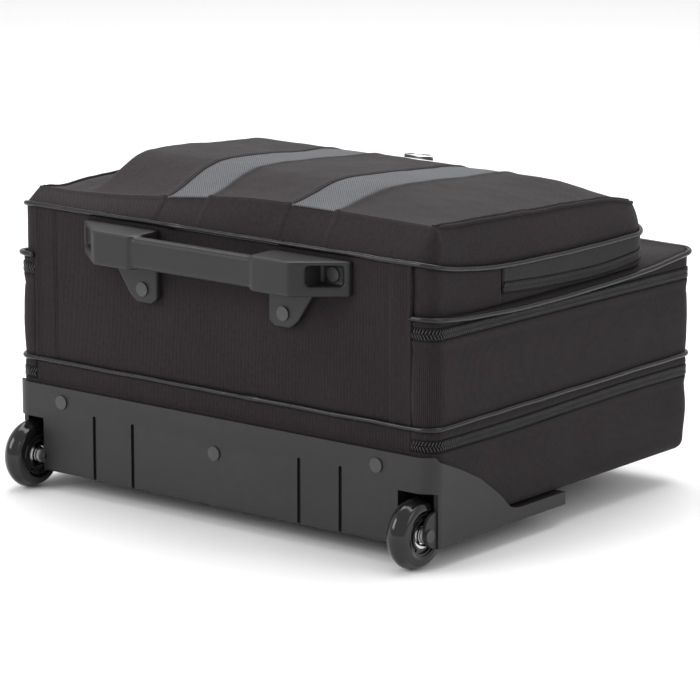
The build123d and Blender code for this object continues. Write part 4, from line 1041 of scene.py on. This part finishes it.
stops = BODY.stops(-BODY.length / 2, BODY.length / 2, 3 * MM)[:-1]
fold_heights = FOLD_LINE + 0 * stops
fold_piping = make_piece("fold_piping", [piping_part(BODY, stops, fold_heights, 1, sleeves=[38 * MM], closed=True)],
                         [PIPING])
place(fold_piping, "mid_section", "piping_vinyl", "mid_piping")

stops = BODY.stops(HEM_START, BODY.length - HEM_START, 3 * MM)
lid_heights = along_walk(BODY, stops, lid_line)
lid_piping = make_piece("lid_edge_piping", [piping_part(BODY, stops, lid_heights, 5, out=3.0 * MM)], [PIPING])
place(lid_piping, "front_section", "piping_vinyl", "lid_piping")

stops = POCKET.stops(-POCKET.length / 2, POCKET.length / 2, 3 * MM)[:-1]
pocket_heights = along_walk(POCKET, stops, pocket_line)
pocket_piping = make_piece("pocket_piping", [piping_part(POCKET, stops, pocket_heights, 9, out=1.2 * MM,
                                                         sleeves=[-48 * MM], closed=True)], [PIPING])

# %% [markdown]
# ## Front section: lid and pocket
#
# The lid is a narrow skirt and a flat deck, of which a ledge shows behind the pocket. The pocket stands on it: its
# wheel-end length is sewn down, and beyond the crest it is a flap that the pocket zip frees. Both lengths share one
# cover of cloth, so the cover, its piping and its stripes are single pieces across the hinge instead of being cut
# there.

# %% Skirt and deck of the lid
stops = BODY.stops(HEM_START, BODY.length - HEM_START, 4 * MM)
skirt_low = along_walk(BODY, stops, main_zip_line) + ZIP_HALF
skirt_high = along_walk(BODY, stops, lid_line) - 1 * MM


def skirt_belly(stops, heights):
    """A rolled hem over the zip."""
    return 0.9 * MM + 0.2 * MM * ripple(stops, heights, 45 * MM, 3)


lid_skirt = make_piece("lid_skirt", [wall(BODY, stops, skirt_low, skirt_high, 3 * MM, skirt_belly, rows=6)],
                       [SIDE_CLOTH, LINING])
place(lid_skirt, "front_section", "ribbed_fabric", "lid_shell")

deck_sizes = (HALF - 0.5 * MM, NEAR + 8 * MM, FAR - 0.5 * MM, 3 * MM, CORNER)


def deck_height(x, y):
    """Level cloth that meets the lid's piping at its rim."""
    rim = np.minimum(deck_sizes[0] - np.abs(x), np.minimum(y - deck_sizes[1], deck_sizes[2] - y))
    inside = smooth(2 * MM, 16 * MM, rim)
    level_cloth = LEDGE_LINE + 0.5 * MM + 0.6 * MM * ripple(x, y, 60 * MM, 2)
    return level_cloth * inside + (lid_line(y) + 1.2 * MM) * (1 - inside)


lid_deck = panel("lid_deck", deck_sizes, deck_height, [RIBBED_CLOTH, LINING], 4 * MM, step=6 * MM)
place(lid_deck, "front_section", "ribbed_fabric")

# %% Pocket walls: sewn length on both sides, low wall under the zip, and the flap's edge above it
def quiet_belly(stops, heights):
    """A nearly flat strip."""
    return 0.35 * MM * ripple(stops, heights, 40 * MM, 6)


POCKET_HEM_START = HEM + 1 * MM
side_parts = []
for side in (-1, 1):
    ends = sorted((side * POCKET_HEM_START, side * (POCKET_ZIP_START - 1 * MM)))
    stops = POCKET.stops(*ends, 3 * MM)
    high = along_walk(POCKET, stops, pocket_line) - 1 * MM
    side_parts.append(wall(POCKET, stops, LEDGE_LINE - 2 * MM, high, 3 * MM, quiet_belly, rows=10))
stops = POCKET.stops(POCKET_ZIP_START - 1 * MM, POCKET.length - POCKET_ZIP_START + 1 * MM, 4 * MM)
low_wall_high = along_walk(POCKET, stops, pocket_zip_line) - ZIP_HALF + 0.5 * MM
side_parts.append(wall(POCKET, stops, LEDGE_LINE - 2 * MM, np.maximum(low_wall_high, LEDGE_LINE - 1 * MM), 3 * MM,
                       quiet_belly, rows=4))
pocket_walls = make_piece("pocket_walls", side_parts, [TWILL_CLOTH, LINING])
place(pocket_walls, "front_section", "ribbed_fabric", "pocket_pad")

stops = POCKET.stops(POCKET_ZIP_START, POCKET.length - POCKET_ZIP_START, 3 * MM)
edge_low = along_walk(POCKET, stops, pocket_zip_line) + ZIP_HALF - 0.5 * MM
edge_high = along_walk(POCKET, stops, pocket_line) - 1 * MM


def edge_belly(stops, heights):
    """A smooth bound edge that rolls over the zip."""
    return 1.0 * MM + 0.25 * MM * ripple(stops, heights, 35 * MM, 4)


flap_edge = make_piece("flap_bound_edge", [wall(POCKET, stops, edge_low, edge_high, 3 * MM, edge_belly, rows=8)],
                       [SMOOTH_CLOTH, LINING])
place(flap_edge, "pocket_flap_body", "ribbed_fabric")

# %% [markdown]
# ## The pocket's padded cover
#
# One sheet from the wheel end to the top end. Its height is built up like the real pattern: a band that leans back
# from the piping to a soft seam, a rise to the crest, a long gentle slope and a drop at the top end. On the left a
# plain strip lies low beside the raised pad. Under each stripe the cloth is sewn down into a shallow channel.

# %% Height of the cover
STRIPES = ((-68 * MM, -24 * MM), (65 * MM, 110 * MM))
BAND_DEPTH = 16 * MM
STRIP_EDGE = -162 * MM
FAR_RIM_LINE = PANEL_LINE + 2 * MM
CHANNEL_DEPTH = 1.1 * MM
SIDE_LEAN = 8 * MM
SEAM_LIFT = 12 * MM
SEAM_RISE = 17 * MM
SEAM_SPAN = (-165 * MM, 50 * MM)
FULL_SPAN = (70 * MM, 170 * MM)
CREST_LIFT = 2 * MM
CREST_FALL = 8.5 * MM
CREST_FALL_SAVED = 3.5 * MM
CREST_FALL_LENGTH = 140 * MM
RIGHT_FALL = 4 * MM
RIGHT_FALL_SPAN = (30 * MM, 190 * MM)
RISE_END = 88 * MM
STRIP_RISE = 3 * MM
RIGHT_EDGE_START = 90 * MM
RIGHT_EDGE_WIDTH = 119 * MM
LEFT_EDGE_START = 182 * MM
LEFT_EDGE_WIDTH = 28 * MM
LEFT_EDGE_DEPTH = 5 * MM
FAR_DROP_LENGTH = 95 * MM
FAR_DROP_SAVED = 29 * MM
FAR_DROP_BEYOND = 14 * MM
SIDE_SEAM_LIFT = 28.5 * MM
SIDE_SEAM_SLOPE = 0.05
POCKET_NEAR = NEAR + 1 * MM


def channel(x):
    """How far the cloth is sewn down under the stripes, and the small roll beside each channel."""
    depth = 0 * x
    for start, end in STRIPES:
        depth = depth - CHANNEL_DEPTH * smooth(start - 1 * MM, start + 1 * MM, x) * (
            1 - smooth(end - 1 * MM, end + 1 * MM, x))
        for edge in (start - 3.2 * MM, end + 3.2 * MM):
            depth = depth + 0.9 * MM * np.exp(-((x - edge) / (2.2 * MM)) ** 2)
    return depth


def side_line(inward):
    """Height of the rolled seam along the right side."""
    return PANEL_LINE + SIDE_SEAM_LIFT - SIDE_SEAM_SLOPE * inward


def cover_height(x, y):
    """The cover's height, without its channels."""
    inward = y - POCKET_NEAR
    seam = PANEL_LINE + SEAM_LIFT + SEAM_RISE * smooth(*SEAM_SPAN, x)
    fuller = smooth(*FULL_SPAN, x)
    fall = (CREST_FALL - CREST_FALL_SAVED * fuller) * smooth(0, CREST_FALL_LENGTH, y - CREST)
    crest = CREST_LINE + CREST_LIFT - fall - RIGHT_FALL * smooth(*RIGHT_FALL_SPAN, x)
    rise = smooth(BAND_DEPTH / 2, RISE_END, inward)
    top = seam + (crest - seam) * rise
    strip = seam + STRIP_RISE * rise
    top = strip + (top - strip) * smooth(STRIP_EDGE - 9 * MM, STRIP_EDGE + 12 * MM, x)
    right = np.clip((x - RIGHT_EDGE_START) / RIGHT_EDGE_WIDTH, 0, 1)
    top = top - np.maximum(top - side_line(inward), 0) * right ** 1.5
    left = np.clip((-x - LEFT_EDGE_START) / LEFT_EDGE_WIDTH, 0, 1)
    top = top - LEFT_EDGE_DEPTH * left ** 2 * smooth(BAND_DEPTH, 40 * MM, inward)
    drop_start = POCKET_FAR - FAR_DROP_LENGTH + FAR_DROP_SAVED * fuller
    drop = smooth(drop_start, POCKET_FAR + FAR_DROP_BEYOND, y) ** 1.3
    top = FAR_RIM_LINE + (top - FAR_RIM_LINE) * (1 - drop)
    soft = 0.7 * MM * ripple(x, y, 75 * MM, 1) + 0.35 * MM * ripple(x, y, 28 * MM, 2)
    top = top + soft * smooth(BAND_DEPTH, 45 * MM, inward)
    base = PANEL_LINE + 2.2 * MM
    leaning = base + (seam - base) * np.clip(inward / BAND_DEPTH, 0, 1) ** 0.8
    return np.where(inward < BAND_DEPTH, leaning, top) + 0.8 * MM * np.exp(
        -((inward - BAND_DEPTH) / (1.6 * MM)) ** 2)


badge_low, badge_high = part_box("badge")
badge_middle = (badge_low + badge_high) / 2
BADGE_GAP = badge_low.z + 0.4 * MM - float(cover_height(np.array(badge_middle.x), np.array(badge_middle.y)))


def cover_with_channels(x, y):
    """Height of the cloth itself, with the mound that the badge sits on."""
    away = np.hypot(x - badge_middle.x, y - badge_middle.y)
    return cover_height(x, y) + channel(x) + BADGE_GAP * np.exp(-(away / (26 * MM)) ** 4)


def cover_skirt(x, y):
    """Where the cover's side bands meet the piping."""
    return pocket_line(y) + 1.4 * MM


BESIDE_EDGE = (-4.5, -3, -1.5, -0.5, 0.5, 1.5, 3, 4.5)
edge_columns = [edge + offset * MM for stripe in STRIPES for edge in stripe for offset in BESIDE_EDGE]
edge_columns += list(np.linspace(STRIP_EDGE - 10 * MM, STRIP_EDGE + 12 * MM, 9))
BAND_SHARES = (0.03, 0.1, 0.2, 0.35, 0.5, 0.65, 0.8, 0.9, 1.0, 1.1, 1.25)
band_rows = [POCKET_NEAR + share * BAND_DEPTH for share in BAND_SHARES]
cover_sizes = (POCKET_HALF - SIDE_LEAN, POCKET_NEAR, POCKET_FAR, CORNER, POCKET_CORNER)
cover = panel("pocket_cover", cover_sizes, cover_with_channels, [RIBBED_CLOTH, LINING, TWILL_CLOTH, TWILL_CLOTH],
              2.4 * MM, skirt=cover_skirt, flare=SIDE_LEAN, step=3.6 * MM, columns=edge_columns, rows_at=band_rows,
              front_rows=POCKET_NEAR + BAND_DEPTH)
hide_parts("pocket_flap")


def across_hinge(piece):
    """Bake a finished piece's transform into its mesh. The piece rides on no body."""
    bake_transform(piece)


across_hinge(cover)
across_hinge(pocket_piping)
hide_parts("panel_top_piping", "flap_piping")

# %% Rolled seams along both top edges
def tube_part(path, radius, sides=10):
    """A round cord along a path of points."""
    path = np.asarray(path)
    ahead = np.gradient(path, axis=0)
    ahead /= np.linalg.norm(ahead, axis=1)[:, None]
    sideways = np.cross(ahead, (0, 0, 1))
    sideways /= np.linalg.norm(sideways, axis=1)[:, None]
    upwards = np.cross(sideways, ahead)
    angle = np.linspace(0, math.tau, sides, endpoint=False)
    radius = np.broadcast_to(radius, len(path))[:, None, None]
    ring = sideways[:, None] * np.cos(angle)[:, None] + upwards[:, None] * np.sin(angle)[:, None]
    vertices = (path[:, None] + radius * ring).reshape(-1, 3)
    walked = np.concatenate([[0], np.cumsum(np.linalg.norm(np.diff(path, axis=0), axis=1))])
    girth = np.linspace(0, math.tau, sides + 1) * float(np.mean(radius))
    faces, cloth = [], []
    for i in range(len(path) - 1):
        for k in range(sides):
            after = (k + 1) % sides
            faces.append([i * sides + k, i * sides + after, (i + 1) * sides + after, (i + 1) * sides + k][::-1])
            cloth += [(walked[i + 1], girth[k]), (walked[i + 1], girth[k + 1]), (walked[i], girth[k + 1]),
                      (walked[i], girth[k])]
    last = (len(path) - 1) * sides
    faces += [list(range(sides)), list(range(last + sides - 1, last - 1, -1))]
    cloth += [(0, 0)] * (2 * sides)
    return vertices, faces, cloth, [0] * len(faces)


COVER = Walk(*cover_sizes)
roll_parts = []
for side in (-1, 1):
    ends = sorted((side * (COVER.to(POCKET_NEAR + BAND_DEPTH)), side * (COVER.to(POCKET_FAR - 4 * MM))))
    stops = COVER.stops(*ends, 3 * MM)
    places, outward = COVER.at(stops)
    for inset, lift in ((0.2 * MM, 0.0), (3.6 * MM, 0.9 * MM)):
        flat = places - outward * inset
        heights = cover_height(flat[:, 0], flat[:, 1]) + lift - 0.3 * MM
        girth = 1.6 * MM + 0.25 * MM * ripple(stops, inset * 9, 30 * MM, 4)
        to_end = np.minimum(np.abs(stops - stops[0]), np.abs(stops - stops[-1]))
        girth = girth * (0.3 + 0.7 * smooth(0, 12 * MM, to_end))
        roll_parts.append(tube_part(np.column_stack([flat, heights]), girth))
seam_rolls = make_piece("rolled_side_seams", roll_parts, [TWILL_CLOTH])
across_hinge(seam_rolls)

# %% Webbing stripes
for label, (start, end) in zip(("left", "right"), STRIPES):
    y = np.concatenate([np.linspace(POCKET_NEAR + BAND_DEPTH - 0.6 * MM, POCKET_NEAR + BAND_DEPTH * 1.3, 8),
                        np.linspace(POCKET_NEAR + BAND_DEPTH * 1.5, POCKET_FAR - 1 * MM, 90)])
    x = np.linspace(start + 0.4 * MM, end - 0.4 * MM, 14)
    x, y = np.meshgrid(x, y)
    bound = np.minimum(x - start, end - x)
    z = cover_height(x, y) - CHANNEL_DEPTH + 0.9 * MM - 0.5 * MM * np.exp(-(bound / (1.2 * MM)) ** 2)
    index = np.arange(x.size).reshape(x.shape)
    quads = np.stack([index[:-1, :-1], index[:-1, 1:], index[1:, 1:], index[1:, :-1]], axis=2).reshape(-1, 4)
    steps = np.hypot(np.diff(y, axis=0), np.diff(z, axis=0))
    along = np.concatenate([np.zeros((1, x.shape[1])), np.cumsum(steps, axis=0)])
    cloth = np.stack([x, along], axis=2).reshape(-1, 2)[quads.ravel()]
    part = (np.stack([x, y, z], axis=2).reshape(-1, 3), quads.tolist(), cloth, [0] * len(quads))
    stripe = make_piece(f"{label}_stripe", [part], [GREY_WEBBING])
    thickness = stripe.modifiers.new("thickness", "SOLIDIFY")
    thickness.thickness = 1.0 * MM
    thickness.offset = -1
    settle(stripe)
    across_hinge(stripe)
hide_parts("pad_stripes", "flap_stripes")

# %% [markdown]
# ## Handles, and the finishes of the rigid parts
#
# The grab handle and the carry handle are softened copies of their solids: a fine voxel skin rounds every edge as
# a mould or a folded strap does. The solids that stay as they are only need their finishes.


# %% Softened copies
def softened(name, node, voxel, turns, material):
    """A copy of a solid with rounded edges. Its cloth coordinates are its own places along the case and up."""
    piece = bpy.data.objects.new(name, frame["nodes"][node].data.copy())
    bpy.context.collection.objects.link(piece)
    skin = piece.modifiers.new("skin", "REMESH")
    skin.mode = "VOXEL"
    skin.voxel_size = voxel
    relax = piece.modifiers.new("relax", "SMOOTH")
    relax.factor = 0.5
    relax.iterations = turns
    settle(piece)
    mesh = piece.data
    mesh.polygons.foreach_set("use_smooth", np.ones(len(mesh.polygons), dtype=bool))
    mesh.materials.clear()
    mesh.materials.append(material)
    while mesh.uv_layers:
        mesh.uv_layers.remove(mesh.uv_layers[0])
    places = np.empty(3 * len(mesh.vertices))
    mesh.vertices.foreach_get("co", places)
    corners = np.empty(len(mesh.loops), dtype=int)
    mesh.loops.foreach_get("vertex_index", corners)
    cloth = places.reshape(-1, 3)[corners][:, [0, 2]]
    mesh.uv_layers.new(name="cloth").uv.foreach_set("vector", cloth.astype(np.float32).ravel())
    return piece


place(softened("moulded_grab_handle", "grab_handle", 1.3 * MM, 5, MOULDED), "mid_section", "moulded_plastic",
      "grab_handle")
place(softened("carry_strap", "carry_handle", 1.2 * MM, 3, BLACK_WEBBING), "mid_section", "handle_webbing",
      "carry_handle")
place(softened("strap_anchors", "carry_handle_anchors", 1.2 * MM, 2, BLACK_WEBBING), "mid_section",
      "handle_webbing", "carry_handle_anchors")

# %% Finishes of the solids that show
BADGE_DARK = hard_material("badge_dark", (0.05, 0.05, 0.052), (0.11, 0.11, 0.112), 0.30, density=1800, metallic=0.9)
FINISHES = {
    "moulded_plastic": MOULDED, "inner_plastic": INNER_PLASTIC, "rivet_metal": RIVET_BLACK,
    "wheel_tyre": TYRE_GLOSS, "wheel_hub": HUB_GLOSS, "bearing_steel": BRIGHT_STEEL, "axle_steel": STEEL,
    "trolley_tube": TUBE, "zip_slider": SLIDER, "stiffener_board": BOARD, "badge_metal": BADGE_DARK,
    "lining_foam": LINING, "ballistic_fabric": SIDE_CLOTH, "ribbed_fabric": RIBBED_CLOTH, "zip_coil": COIL_WITH_PAINTED_GLINT,
    "piping_vinyl": PIPING, "grey_webbing": GREY_WEBBING, "handle_webbing": BLACK_WEBBING,
}
for subpart in frame["record"]["subparts"]:
    node = frame["nodes"][subpart["node"]]
    node.data.materials.clear()
    node.data.materials.append(FINISHES[subpart["material_slot"]])
print("finished solids:", len(frame["nodes"]))

# %% Rim of the badge
RIM = 0.8 * MM
turn = np.linspace(0, math.tau, 65)
long_way = (badge_high.x - badge_low.x) / 2 - RIM
short_way = (badge_high.y - badge_low.y) / 2 - RIM
rim_path = np.column_stack([badge_middle.x + long_way * np.cos(turn), badge_middle.y + short_way * np.sin(turn),
                            badge_high.z - 0.2 * MM + 0 * turn])
badge_rim = make_piece("badge_rim", [tube_part(rim_path, RIM)], [BRIGHT_STEEL])
place(badge_rim, "pocket_flap_body", "badge_metal")


# %% Sizes, and finish
low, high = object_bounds()
